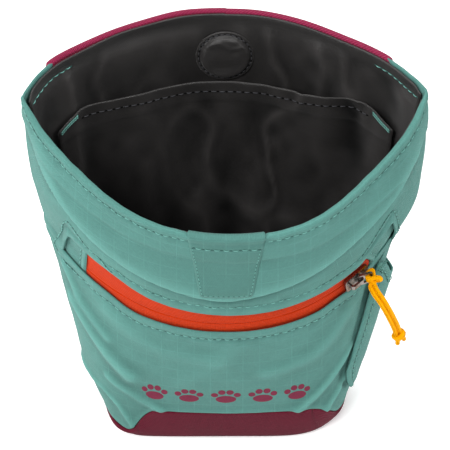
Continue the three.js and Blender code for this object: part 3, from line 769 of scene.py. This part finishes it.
# the lining's ridges and edges get strong painted highlights, and its hollows strong painted shade
lining_cloth = woven("charcoal_lining", CHARCOAL, 0.0005, 0.38, sheen=0.12, contrast=0.15, rub_and_shade=0.3,
                     fold_shading=0.9)
web_trim = webbing("burgundy_webbing", WEB, 0.0013, 0.8)
tape_cloth = zip_tape("orange_zipper_tape", ORANGE)
coil_plastic = hard("orange_coil", ORANGE, 0.45, metallic=0.0)
gunmetal = hard("gunmetal", (0.075, 0.064, 0.058), 0.27)
steel = hard("spring_steel", (0.085, 0.088, 0.094), 0.42)
cord_braid = braid("yellow_braid", YELLOW)
teal_thread = thread("teal_thread", (0.140, 0.335, 0.295))
dark_thread = thread("dark_thread", (0.05, 0.05, 0.055))
wine_thread = thread("burgundy_thread", (0.22, 0.03, 0.06))
# painted shade: the needle holes are dark discs in these colours
teal_hole_shade = thread("teal_needle_hole_shade", (0.030, 0.090, 0.078))
dark_hole_shade = thread("dark_needle_hole_shade", (0.004, 0.004, 0.004))
wine_hole_shade = thread("burgundy_needle_hole_shade", (0.02, 0.003, 0.006))
teal_seam, dark_seam, wine_seam = (teal_thread, teal_hole_shade), (dark_thread, dark_hole_shade), (wine_thread, wine_hole_shade)
print_ink = ink("burgundy_print", (0.165, 0.022, 0.048))


# ---------- fixing the pieces in place ---------------
def soft(obj, slot, *replaced, deep=0.0):
    """Bakes the piece's place into its mesh and hides the CAD parts that it replaces.

    deep is not used."""
    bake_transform(obj)
    if replaced:
        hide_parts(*replaced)


def rigid(obj, body, slot, *replaced):
    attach(obj, body)
    if replaced:
        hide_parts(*replaced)


# ---------- the front ----------
def in_window(r, level):
    """1 inside the zipper's window and 0 under the front cloth."""
    return smooth((upper_lip(r) - level) / 1.5) * smooth((level - lower_lip(r)) / 1.5)


def front_cloth():
    rounds = spread(-WRAP_LEFT, WRAP_RIGHT)
    foot = lambda r: boot_top(r) + GAP
    outer = lambda r, level: -front_relief(r, level)
    rim_fold = lambda r: mix(1.0, 2.3, smooth((1.02 - np.abs(r)) / 0.1))
    upper = cloth("front_upper_cloth", rounds, upper_lip, rim_top, outer, CLOTH, teal_cloth, fold=rim_fold)
    soft(upper, "shell_cloth", "front_upper_panel")
    lower = cloth("front_lower_cloth", rounds, foot, lower_lip, outer, CLOTH, teal_cloth)
    soft(lower, "shell_cloth", "front_lower_panel")


def zipper_ends():
    """The tabs of plain cloth over the zipper's two ends."""
    ends = (("left", -0.9, ZIP_LEFT, tape_left, -1), ("right", 0.9, ZIP_RIGHT, tape_right, 1))
    for side, far, near, tape_end, way in ends:

        def bend(r, level):
            return mix(far, tape_end(level) + way * 0.002, (r - far) / (near - far))

        def depth(r, level):
            edge = hill((r - tape_end(level)) * ARC - way * 0.9, 1.1) * in_window(r, level)
            return TAPE - 0.85 * edge - 0.05 - 0.2 * noise(r * ARC / 5, level / 6, 8)

        rows = spread(min(far, near), max(far, near), 0.7)
        tab = cloth(f"zipper_end_cloth_{side}", rows, ZIP - 10, ZIP + 18, depth, WEAVE_THICK, plain_teal,
                    0.8, bend=bend)
        soft(tab, "shell_cloth", f"zipper_end_tab_{side}", deep=1.3)
        level = np.linspace(ZIP - 1, ZIP + 14, 40)
        r = tape_end(level) + way * 0.036
        arc = [run_on(r, level, depth(r, level) - PROUD)]
        soft(stitches(f"zipper_end_stitching_{side}", arc, teal_seam), "shell_cloth", deep=1.3)


def zipper():
    rounds = spread(ZIP_LEFT, ZIP_RIGHT)
    over = lambda r: zip_line(r) + 0.12
    under = lambda r: zip_line(r) - 0.12

    def flat(r, level):
        return TAPE - 0.12 * hill(level - zip_line(r), 1.2) + 0.08 * noise(r * ARC / 12, level / 6, 9)

    def bend(r, level):
        return mix(tape_left(level) - 0.01, tape_right(level), (r - ZIP_LEFT) / (ZIP_RIGHT - ZIP_LEFT))

    for which, low, high in (("upper", over, 95.5), ("lower", 64.5, under)):
        tape = cloth(f"zipper_tape_{which}_weave", rounds, low, high, flat, WEAVE_THICK, tape_cloth,
                     bend=bend)
        soft(tape, "zipper_tape", f"zipper_tape_{which}", deep=1.5)
    turns = np.linspace(0, 1, 2400)
    r = mix(ZIP_LEFT, ZIP_RIGHT, turns)
    angle = turns * 2 * np.pi * 110
    path = skin(r, zip_line(r) + 1.9 * np.cos(angle), 2.6 + 0.35 * np.sin(angle))
    soft(tube("zipper_coil_turns", path, 0.26, 5, coil_plastic), "zipper_coil", "zipper_coil", deep=2.0)
    behind = lambda r, level: 3.4 + 0.1 * noise(r * 9, level / 14, 4)
    back = cloth("pocket_back_cloth", spread(-0.86, 0.86, 3), 18, ZIP + 20, behind, 0.8, lining_cloth, fine=3)
    soft(back, "lining_cloth", "pocket_back_panel", deep=3.6)


WINDOW_ENDS = [               # the topstitching round the blunt ends of the zipper's window
    [(-0.5, 94.1), (-0.56, 97.3), (-0.62, 99.3), (-0.66, 102.4), (-0.7, 104.2), (-0.745, 100), (-0.79, 93),
     (-0.84, 87), (-0.885, 82), (-0.922, 78), (-0.915, 75), (-0.88, 74), (-0.82, 73.3), (-0.74, 73.4),
     (-0.62, 73.8)],
    [(0.6, 92.0), (0.64, 95.5), (0.69, 101), (0.735, 104.2), (0.77, 103), (0.81, 97), (0.86, 90), (0.9, 84.5),
     (0.935, 79), (0.93, 75.5), (0.89, 73.6), (0.82, 72.5), (0.74, 72.4), (0.65, 71.5), (0.56, 71.8)],
]


def front_stitching():
    r = np.linspace(-1.12, 1.12, 500)
    runs = [front_run(beside_patch, RIM - RIM_SEAM) for beside_patch in (r[r < -0.145], r[r > 0.145])]
    upper = np.linspace(-0.5, 0.6, 300)
    lower = np.linspace(-0.62, 0.56, 300)
    runs.append(front_run(upper, upper_lip(upper) + LIP_SEAM))
    runs.append(front_run(lower, lower_lip(lower) - LIP_SEAM + 0.6))
    for points in WINDOW_ENDS:
        runs.append(front_run(*curve_through(points, 120).T))
    soft(stitches("front_topstitching", runs, teal_seam), "shell_cloth")


def patch_half(level):
    return mix(0.1, 0.142, (level - 101) / 30)


def magnet_patch():
    """The shield over the front magnet. It runs up the front, over the rim and down inside."""
    lined = lining_depth(0.0, 130.0) + LINING_THICK + GAP
    foot, top, thick, columns = 101.5, RIM + 0.1, 0.6, 41
    up = np.linspace(foot, top, 34)
    turn = np.linspace(0, np.pi, 9)[1:-1]
    reach = (lined + PATCH_OUT) / 2
    levels = np.concatenate([up, top + 0.9 * np.sin(turn), np.linspace(RIM, 128, 6)])
    over = reach * (1 - np.cos(turn)) - PATCH_OUT
    depths = np.concatenate([up * 0 - PATCH_OUT, over, np.full(6, lined + 0.5)])
    inner = depths + np.concatenate([up * 0 + thick, thick * np.cos(turn), np.full(6, -thick)])
    inner_levels = levels - np.concatenate([up * 0, thick * np.sin(turn), np.zeros(6)])
    share = np.linspace(-1, 1, columns)[:, None]
    half = patch_half(levels)[None, :] * share
    in_front = (depths < 0)[None, :]
    relief = front_relief(half, levels[None, :]) * in_front
    edge = 0.35 * smooth((np.abs(share) - 0.93) / 0.07)
    foot_edge = 0.3 * smooth((foot + 1.1 - levels) / 1.1)[None, :]
    seam = 0.25 * hill(levels - (RIM - PATCH_SEAM), 0.8)[None, :] * in_front
    sink = (edge + foot_edge + seam) * in_front
    outside = skin(half, levels[None, :], depths[None, :] - relief + sink)
    inside = skin(half, inner_levels[None, :], inner[None, :] - relief)
    points = np.concatenate([outside, inside[:, ::-1]], 1)
    u = np.concatenate([half, half[:, ::-1]], 1) * ARC
    v = np.concatenate([levels, levels[::-1]])[None, :] + u * 0
    obj = make_mesh("magnet_patch_cloth", points, loop_faces(columns, points.shape[1]),
                    np.stack([u, v], -1), patch_teal)
    soft(obj, "shell_cloth", "front_magnet_patch")
    top_seam = [front_run(np.linspace(-0.12, 0.12, 40), RIM - PATCH_SEAM, 0.46)]
    soft(stitches("magnet_patch_topstitching", top_seam, teal_seam), "shell_cloth")
    level = np.linspace(127, 103, 60)
    runs = [front_run(way * (patch_half(level) - 0.011), level, thick) for way in (-1, 1)]
    runs.append(front_run(np.linspace(-0.088, 0.088, 30), 102.8, thick))
    soft(stitches("magnet_patch_edge_stitches", runs, teal_seam, 1.7, 1.3, 0.24), "shell_cloth")


def side_pocket_top(r):
    """Its open top edge slants down towards the back."""
    return mix(75.5, 60, smooth((r - 0.8) / 0.22))


def side_pocket_out(share, rise):
    """How far its cloth stands out from the shell. rise is 0 at its foot and 1 at its top edge."""
    bulge = 2.4 * np.sin(np.pi * share) * (0.25 + 0.75 * smooth(rise)) * smooth(rise * 4)
    crush = 0.3 * noise(share * 4, rise * 6, 21) * smooth(share * 8)
    return 0.3 + 0.8 + bulge + crush + 0.45 * hill(share - 0.05, 0.03)


def side_pocket():
    last = WRAP_RIGHT - 0.05
    columns = 44
    top_of = lambda share: side_pocket_top(mix(pocket_seam(SIDE_TOP), last, share))

    def run(share, rise, top):
        level = mix(SIDE_FOOT, top, rise) + share * 0
        return run_on(mix(pocket_seam(level), last, share), level, -side_pocket_out(share, rise) - PROUD)

    share = np.linspace(0, 1, columns)[:, None]
    rise = np.linspace(0, 1, 60)[None, :]
    top = top_of(share)
    levels = mix(SIDE_FOOT, top, rise)
    r = mix(pocket_seam(levels), last, share)
    outer = -side_pocket_out(share, rise) + 0.25 * hill(top - POCKET_HEM - levels, 0.8)
    roll = np.linspace(0, np.pi, 6)[1:-1][None, :]
    edge = skin(r[:, -1:], top + 0.4 * np.sin(roll), outer[:, -1:] + 0.4 - 0.4 * np.cos(roll))
    outside, inside = skin(r, levels, outer), skin(r, levels, outer + 0.8)
    points = np.concatenate([outside, edge, inside[:, ::-1]], 1)
    v = np.concatenate([levels, top + roll * 0, levels[:, ::-1]], 1)
    obj = make_mesh("side_pocket_cloth", points, loop_faces(columns, points.shape[1]),
                    np.stack([share * 28 + v * 0, v], -1), teal_cloth)
    soft(obj, "shell_cloth", "side_bag_pocket", deep=-1.5)
    along = np.linspace(0.03, 0.97, 120)
    upright, across = 0.1 + along * 0, 0.02 + 0.94 * along
    hem = 1 - POCKET_HEM / (top_of(across) - SIDE_FOOT)
    runs = [run(upright, along, top_of(upright)), run(across, hem, top_of(across))]
    soft(stitches("side_pocket_topstitching", runs, teal_seam), "shell_cloth", deep=-1.5)
    tacks = [run(np.linspace(0.01, 0.16, 12), 1 - below / 55, SIDE_TOP) for below in (0.9, 1.7, 2.5)]
    soft(stitches("side_pocket_bartack", tacks, teal_seam, 0.6, 0.9, 0.35), "shell_cloth", deep=-1.5)


# ---------- the back and the base ----------
def back():
    first, last = WRAP_RIGHT + 0.001, 4 - WRAP_LEFT - 0.001
    foot = lambda r: boot_top(r) + GAP
    top = lambda r: rim_at(r) - 0.1

    def relief(r, level):
        return -0.4 * noise(r * ARC / 26, level / 24, 31) - 0.1 * noise(r * ARC / 8, level / 8, 32)

    panel = cloth("back_cloth", spread(first, last), foot, top, relief, CLOTH, burgundy_cloth)
    soft(panel, "burgundy_cloth", "back_panel")

    def free(r):
        """0 where the webbing runs on past the front cloth's ends and 1 between them."""
        return smooth((r - first + 0.025) / 0.02) * smooth((last + 0.025 - r) / 0.02)

    wavy = lambda r, level: -0.7 - 0.8 * free(r) + 0.3 * noise(r * ARC / 16, level * 0, 33)
    edge = lambda r: rim_at(r) - 0.4 + (1.2 + 0.35 * noise(r * ARC / 22, r * 0, 34)) * free(r)
    trim = cloth("back_rim_webbing", spread(first - 0.04, last + 0.04), RIM - 10, edge, wavy, 1.2, web_trim,
                 fine=0.7, fold=lambda r: 2.4 * free(r))
    soft(trim, "burgundy_webbing", "back_rim_trim")
    r = np.linspace(first + 0.02, last - 0.02, 400)
    runs = [run_on(r, level, wavy(r, level) - PROUD) for level in (RIM - 8.6, RIM - 3)]
    soft(stitches("back_rim_stitching", runs, wine_seam), "burgundy_webbing")


def floor_ring(r, z, shrink):
    """The shell's foot line, drawn in by shrink and laid at the height z."""
    ring = skin(r, np.zeros_like(r), np.zeros_like(r))
    far = np.hypot(ring[..., 0], ring[..., 1])[..., None]
    ring = ring * (1 - shrink / far)
    ring[..., 2] = z
    return ring


def boot():
    count = 300
    r = (-2 + 4 * np.arange(count) / count)[:, None]
    top = boot_top(r)
    rise = 0.12 * noise(np.abs(r * ARC) / 12, top * 0 + 2, 41)
    up = np.linspace(0, 1, 14)[None, :]
    levels = mix(2.4, top - 0.4, up)
    turn = np.linspace(0, np.pi, 6)[None, 1:-1]
    inner = levels[:, ::-1]
    points = np.concatenate([
        *(floor_ring(r, z, shrink) for z, shrink in ((0.0, 2.2), (0.25, 1.0), (0.9, 0.3), (1.6, 0.0))),
        skin(r, levels, -0.15 - (0.35 * np.sin(np.pi * up) + rise)),
        skin(r, top - 0.4 + 0.4 * np.sin(turn), -0.15 - rise + 0.5 * (1 - np.cos(turn))),
        skin(r, inner, 0.95 + inner * 0),
        floor_ring(r, 1.6, 1.2),
        floor_ring(r, 1.2, 2.4),
    ], 1)
    size = points.shape[1]
    faces = band_faces(count, size)
    flat = points.reshape(-1, 3)
    # the sole: rings that shrink to the middle, on both faces
    extra = []
    for first_ring, z in ((0, 0.0), (size - 1, 1.2)):
        ring = points[:, first_ring]
        previous = [i * size + first_ring for i in range(count)]
        for share in (0.75, 0.5, 0.25):
            start = len(flat) + len(extra)
            extra.extend(np.stack([ring[:, 0] * share, ring[:, 1] * share, ring[:, 0] * 0 + z], -1))
            current = list(range(start, start + count))
            for i in range(count):
                k = (i + 1) % count
                faces.append((previous[i], previous[k], current[k], current[i]))
            previous = current
        faces.append(tuple(previous))
    flat = np.vstack([flat, np.array(extra)])
    far = np.hypot(flat[:, 0], flat[:, 1])
    uv = np.stack([np.arctan2(flat[:, 0], -flat[:, 1]) * 42, flat[:, 2] + np.where(far < 40, far, 0)], -1)
    soft(make_mesh("base_boot_cloth", flat, faces, uv, burgundy_cloth), "burgundy_cloth", "base_boot")


# ---------- inside ----------
def lining_out(r, level):
    return lining_depth(r, level) + lining_relief(r, level)


def linings():
    front_top = lambda r: rim_at(r) - 1.3
    rear_top = lambda r: rim_at(r) - 0.1 - 1.2 * smooth((np.abs(r - 2) - 0.94) / 0.04)
    front = cloth("lining_front_cloth", spread(-0.985, 0.985), 3.2, front_top, lining_out, LINING_THICK,
                  lining_cloth)
    soft(front, "lining_cloth", "lining_front", deep=5.5)
    rear = cloth("lining_back_cloth", spread(1.015, 2.985), 3.2, rear_top, lining_out, LINING_THICK,
                 lining_cloth)
    soft(rear, "lining_cloth", "lining_back")


def slip_pocket():
    thick = 0.8

    def depth(r, level):
        lined = lining_depth(r, level) + LINING_THICK + GAP
        open_way = smooth((0.72 - np.abs(r - 2)) / 0.35)
        hem = 0.35 * smooth((level - 104.6) / 0.8) - 0.3 * hill(level - 105.2, 0.6)
        return mix(lined, POCKET_OPEN, open_way) + lining_relief(r, level, 51) * 1.1 + hem + 0.3

    def edge(r):
        off = np.abs(r - 2)
        ends = 3.2 * np.minimum(off, 0.72) ** 2 - 30 * np.maximum(off - 0.72, 0)
        return POCKET_EDGE + ends + 0.5 * noise(r * 3.1, r * 0, 52)

    def run(r, below):
        level = edge(r) - below
        return run_on(r, level, depth(r, level) + thick + 0.05, outside=False)

    pocket = cloth("slip_pocket_cloth", spread(1.16, 2.84), 6, edge, depth, thick, lining_cloth)
    soft(pocket, "lining_cloth", "inner_slip_pocket")
    hem_seam = [run(np.linspace(1.3, 2.7, 300), POCKET_HEM)]
    soft(stitches("slip_pocket_stitching", hem_seam, dark_seam), "lining_cloth")
    tacks = [run(2 + way * np.linspace(0.73, 0.83, 20), below) for way in (-1, 1) for below in (0.7, 1.5)]
    soft(stitches("slip_pocket_bartacks", tacks, teal_seam, 0.9, 1.2, 0.5), "lining_cloth")


def lining_seams():
    """The lining's topstitching under the rim, beside both corners."""
    seams = []
    for a, b in ((1.03, 1.29), (2.72, 2.97)):
        r = np.linspace(a, b, 60)
        level = rim_at(r) - 3.2
        seams.append(run_on(r, level, lining_out(r, level) + LINING_THICK + 0.05, outside=False))
    soft(stitches("lining_rim_stitching", seams, teal_seam, 2.6, 1.9, 0.45), "lining_cloth")


def lining_floor():
    count = 120
    edge = skin(np.linspace(-2, 2, count, endpoint=False), 0.0, 1.4)
    shares = [1.0, 0.85, 0.7, 0.55, 0.4, 0.25, 0.1]
    rings, faces = [], []
    for z, order in ((1.75, shares[::-1]), (2.5, shares)):
        for share in order:
            ring = edge * share
            ring[:, 2] = z + 0.12 * noise(ring[:, 0] / 9, ring[:, 1] / 9, 61)
            rings.append(ring)
    last = (len(rings) - 1) * count
    for a in range(0, last, count):
        b = a + count
        for i in range(count):
            k = (i + 1) % count
            faces.append((a + i, a + k, b + k, b + i))
    faces.append(tuple(range(count)))
    faces.append(tuple(range(last, last + count)))
    flat = np.array(rings).reshape(-1, 3)
    obj = make_mesh("lining_floor_cloth", flat, faces, flat[:, :2], lining_cloth)
    soft(obj, "lining_cloth", "lining_base")


def magnet_cap():
    """The cloth cap sewn over the rear magnet."""
    level, depth = CAP_LEVEL, TAPE + LINING_THICK + 0.9 + 1.0
    along, up, inward = frame_at(2.0, level)
    middle = skin(2.0, level, depth)
    # the cap's profile: the cloth over the magnet, its side, its sewn edge and the turned-in hem
    radii = np.concatenate([np.linspace(0, 9.2, 12),
                            [9.7, 10.1, 10.5, 11, 11.5, 11.9, 12.1, 12.0, 11.0, 9.9, 9.4]])
    heights = np.concatenate([np.full(11, 2.0),
                              [1.9, 1.5, 0.7, 0.25, 0.2, 0.22, 0.2, 0.0, -0.3, -0.35, 0.1, 0.9]])
    count, size = 96, len(radii)
    turns = np.linspace(0, 2 * np.pi, count, endpoint=False)[:, None]
    crush = noise(np.cos(turns) * radii / 4.5, np.sin(turns) * radii / 4.5, 71)
    fold = hill(radii * np.sin(turns) - 6.5 + 1.5 * np.cos(turns * 3), 1.1) * (radii < 9.5)
    pucker = 0.12 * np.sin(turns * 22) * hill(radii - 10.8, 1.2)
    outer_side = np.arange(size) < 18
    lift = heights - 0.7 + ((0.22 * crush + 0.45 * fold) * (radii < 9.8) + pucker) * outer_side
    x, y = 0.88 * radii * np.cos(turns), 0.88 * radii * np.sin(turns)
    points = middle + x[..., None] * along + y[..., None] * up + lift[..., None] * inward
    faces = band_faces(count, size)
    faces.append(tuple(i * size + size - 1 for i in range(count)))
    obj = make_mesh("rear_magnet_cap_cloth", points, faces, np.stack([x, y], -1), lining_cloth)
    merge_doubles(obj)
    rigid(obj, "pouch", "lining_cloth", "rear_magnet_cap")
    turn = np.linspace(0, 2 * np.pi, 200)[:, None]
    path = middle + 9.6 * (np.cos(turn) * along + np.sin(turn) * up) - 0.4 * inward
    seam = [(path, path * 0 + inward)]
    rigid(stitches("rear_magnet_cap_stitching", seam, dark_seam, 2.1, 1.5, 0.4), "pouch", "lining_cloth")


def merge_doubles(obj):
    work = bmesh.new()
    work.from_mesh(obj.data)
    bmesh.ops.remove_doubles(work, verts=work.verts, dist=1e-6)
    bmesh.ops.recalc_face_normals(work, faces=work.faces)
    work.to_mesh(obj.data)
    work.free()


# ---------- print ----------
PRINT_ARC = 66.0              # mm for each unit of round, at the print
PAW = [                       # each pad's place, half width and half height
    (0, -2.2, 3.3, 2.6), (-3.6, 0.9, 1.15, 1.6), (-1.3, 2.9, 1.2, 1.75), (1.3, 2.9, 1.2, 1.75),
    (3.6, 0.9, 1.15, 1.6),
]


def paw_print():
    """A row of plain paw shapes where the cloth is printed."""
    points, faces, uv = [], [], []
    around, sides = np.linspace(0, 2 * np.pi, 20, endpoint=False), 20
    for place in (-0.36, -0.18, 0.0, 0.18, 0.36):
        for x, y, wide, high in PAW:
            first = len(points)
            for share, sunk in ((0.0, 0.0), (0.5, 0.0), (1.0, 0.08)):
                for t in around:
                    r = place + (x + wide * share * math.cos(t)) / PRINT_ARC
                    level = 30.6 + y + high * share * math.sin(t)
                    points.append(skin(r, level, sunk - 0.1 - front_relief(r, level)))
                    uv.append((r * PRINT_ARC, level))
            for a in (first, first + sides):
                b = a + sides
                for i in range(sides):
                    k = (i + 1) % sides
                    faces.append((a + i, b + i, b + k, a + k))
    obj = make_mesh("front_print", np.array(points), faces, np.array(uv), print_ink)
    merge_doubles(obj)
    soft(obj, "burgundy_cloth")


# ---------- the pull's cord ----------
CORD_ROUTE = np.array([        # from the ring down to the knot
    (52.9, -23.8, 84.6), (54.3, -25.5, 82.6), (56.6, -26.4, 79.0), (58.8, -26.0, 73.6), (60.6, -24.6, 67.8),
    (62.0, -22.8, 62.4), (63.0, -21.0, 57.6),
])
APART = unit(np.array([-0.83, -0.39, -0.39])) * CORD * 0.49


def ring_frame():
    """Directions of the pull ring at rest: reach, along its hinge, square; and the hinge's middle."""
    along = unit(np.array([0.7477, 0.6220, 0.2326]))
    up = unit(np.array([-0.1073, -0.2324, 0.9667]))
    out = np.cross(along, up)
    lift = math.radians(24)
    reach = along * math.cos(lift) + out * math.sin(lift)
    return reach, up, np.cross(reach, up), np.array([47.97, -22.51, 86.18])


def hitch_path():
    """Once round the ring's bar, across the two strands, and round the bar again."""
    reach, hinge, square, pivot = ring_frame()
    bar, loop, half = 5, 1.62, CORD / 2 + 0.12
    turn = np.radians([-55, -100, -150, -200, -250, -290])
    one = [(bar + loop * math.cos(t), half, loop * math.sin(t)) for t in turn]
    bight = [(bar + 2.1, half * 0.9, 2.0), (bar + 2.6, 0.0, 2.35), (bar + 2.1, -half * 0.9, 2.0)]
    two = [(x, -y, z) for x, y, z in reversed(one)]
    points = [pivot + reach * x + hinge * y + square * z for x, y, z in one + bight + two]
    ends = [CORD_ROUTE[0] + APART, CORD_ROUTE[0] - APART]
    if np.linalg.norm(points[0] - ends[0]) > np.linalg.norm(points[0] - ends[1]):
        ends.reverse()
    return curve_through([ends[0], *points, ends[1]], 90)


def knot_path(middle, down):
    """The doubled cord's wraps round its own strands."""
    side = unit(APART)
    across = np.cross(down, side)
    t = np.linspace(0, 1, 80)[:, None]
    angle = 2 * np.pi * (2.15 * t + 0.1)
    swell = np.sin(np.pi * np.clip(t, 0.04, 0.96)) ** 0.25
    turned = np.cos(angle) * side * (1.95 * swell) + np.sin(angle) * across * (1.55 * swell)
    return middle + turned + down * ((t - 0.5) * 3.4 + 0.5 * np.sin(angle))


def pull_cord():
    down = unit(CORD_ROUTE[-1] - CORD_ROUTE[-2])
    knot_at = CORD_ROUTE[-1] + down * 3.1
    paths = {}
    for side, way, tail in (("front", 1, 1.9), ("rear", -1, 1.5)):
        line = [point + APART * way for point in CORD_ROUTE]
        line.append(knot_at + APART * way * 0.95)
        line.append(knot_at + down * 3.4 + APART * way * 1.25)
        line.append(knot_at + down * 6.2 + APART * way * tail)
        paths[side] = curve_through(line, 60)
    strands = {}
    for side, path in paths.items():
        strands[side] = tube(f"pull_cord_{side}", path, CORD / 2, 14, cord_braid)
    hitch = tube("pull_cord_lark_hitch", hitch_path(), CORD / 2, 12, cord_braid)
    knot = tube("pull_cord_overhand_knot", knot_path(knot_at, down), CORD / 2, 12, cord_braid)
    rigid(hitch, "pull", "cord", "pull_cord_hitch")
    rigid(knot, "pull", "cord", "pull_cord_knot")
    for side, with_piece in (("front", knot), ("rear", hitch)):
        strand, path = strands[side], paths[side]
        rigid(strand, "pull", "cord", f"pull_cord_strand_{side}")


# ---------- hard parts that keep their CAD shape ----------
def hard_parts():
    finishes = {
        "zipper_slider": gunmetal, "zipper_pull_ring": gunmetal, "belt_clip": steel,
        "clip_rivet_lower": steel, "clip_rivet_upper": steel, "front_magnet": steel, "rear_magnet": steel,
    }
    for name, material in finishes.items():
        obj = NODES[name]
        obj.data.materials.clear()
        obj.data.materials.append(material)
        bevel = obj.modifiers.new("soft_edges", "BEVEL")
        bevel.width = HARD_BEVEL
        bevel.segments = 2
        bevel.limit_method = "ANGLE"
        bevel.angle_limit = math.radians(35)


def clip_patch():
    flat = lambda r, level: -1.2 + 0.1 * noise(r * ARC / 9, level / 8, 81)
    patch = cloth("clip_patch_webbing", spread(1.72, 2.28), 60, 104, flat, CLOTH, web_trim)
    soft(patch, "burgundy_webbing", "clip_patch")
    runs = []
    for low, high, a, b in ((62, 102, 1.74, 2.26), (64, 100, 1.765, 2.235)):
        corners = [(a, low), (b, low), (b, high), (a, high), (a, low)]
        for (r0, l0), (r1, l1) in zip(corners, corners[1:]):
            r, level = np.linspace(r0, r1, 40), np.linspace(l0, l1, 40)
            runs.append(run_on(r, level, flat(r, level) - PROUD))
    soft(stitches("clip_patch_stitching", runs, wine_seam), "burgundy_webbing")


# ---------- camera, floor and light ----------
CAMERA_AIM = (-0.0002, 0, 0.0922)
CAMERA_TURN = math.radians(-0.285)
CAMERA_RISE = math.radians(45.135)
CAMERA_FAR = 1.3365
CAMERA_LENS = 293.4
LAMP_AIM = (0, 0, 0.08)
LAMPS = (                     # place, size in metres, power in watts
    ("key", (-0.55, -0.95, 1.35), 0.55, 21),
    ("left", (-1.4, -0.1, 0.7), 0.9, 13),
    ("right", (1.4, -0.1, 0.8), 0.9, 12),
    ("top", (0.1, 0.5, 1.5), 0.9, 14),
)
FLOOR_HALF, FLOOR_GLOW, SKY_GLOW = 4, 0.30, 0.22


def camera():
    data = bpy.data.cameras.new("camera")
    data.sensor_width = 36
    data.lens = CAMERA_LENS
    data.clip_start, data.clip_end = 0.05, 20
    obj = bpy.data.objects.new("camera", data)
    bpy.context.scene.collection.objects.link(obj)
    level = math.cos(CAMERA_RISE)
    away = Vector((math.sin(CAMERA_TURN) * level, -math.cos(CAMERA_TURN) * level, math.sin(CAMERA_RISE)))
    obj.location = Vector(CAMERA_AIM) + away * CAMERA_FAR
    obj.rotation_euler = (-away).to_track_quat("-Z", "Y").to_euler()
    bpy.context.scene.camera = obj


def studio():
    mesh = bpy.data.meshes.new("floor")
    corners = [(x * FLOOR_HALF, y * FLOOR_HALF, 0) for x, y in ((-1, -1), (1, -1), (1, 1), (-1, 1))]
    mesh.from_pydata(corners, [], [(0, 1, 2, 3)])
    material, _, shader = nodes_of("floor_paint", (0.92, 0.92, 0.92), 0.9)
    shader.inputs["Emission Color"].default_value = (1, 1, 1, 1)
    shader.inputs["Emission Strength"].default_value = FLOOR_GLOW
    mesh.materials.append(material)
    floor = bpy.data.objects.new("floor", mesh)
    bpy.context.scene.collection.objects.link(floor)
    world = bpy.data.worlds.new("studio")
    bpy.context.scene.world = world
    world.use_nodes = True
    background = world.node_tree.nodes["Background"]
    background.inputs["Color"].default_value = (1, 1, 1, 1)
    background.inputs["Strength"].default_value = SKY_GLOW
    for name, place, size, power in LAMPS:
        data = bpy.data.lights.new(name, "AREA")
        data.size = size
        data.energy = power
        lamp = bpy.data.objects.new(name, data)
        bpy.context.scene.collection.objects.link(lamp)
        lamp.location = place
        lamp.rotation_euler = (Vector(LAMP_AIM) - Vector(place)).to_track_quat("-Z", "Y").to_euler()
    bpy.context.scene.view_settings.view_transform = "Standard"


camera()
pull_cord()
front_cloth()
zipper_ends()
zipper()
front_stitching()
magnet_patch()
side_pocket()
back()
boot()
linings()
slip_pocket()
lining_seams()
lining_floor()
magnet_cap()
paw_print()
clip_patch()
hard_parts()
studio()
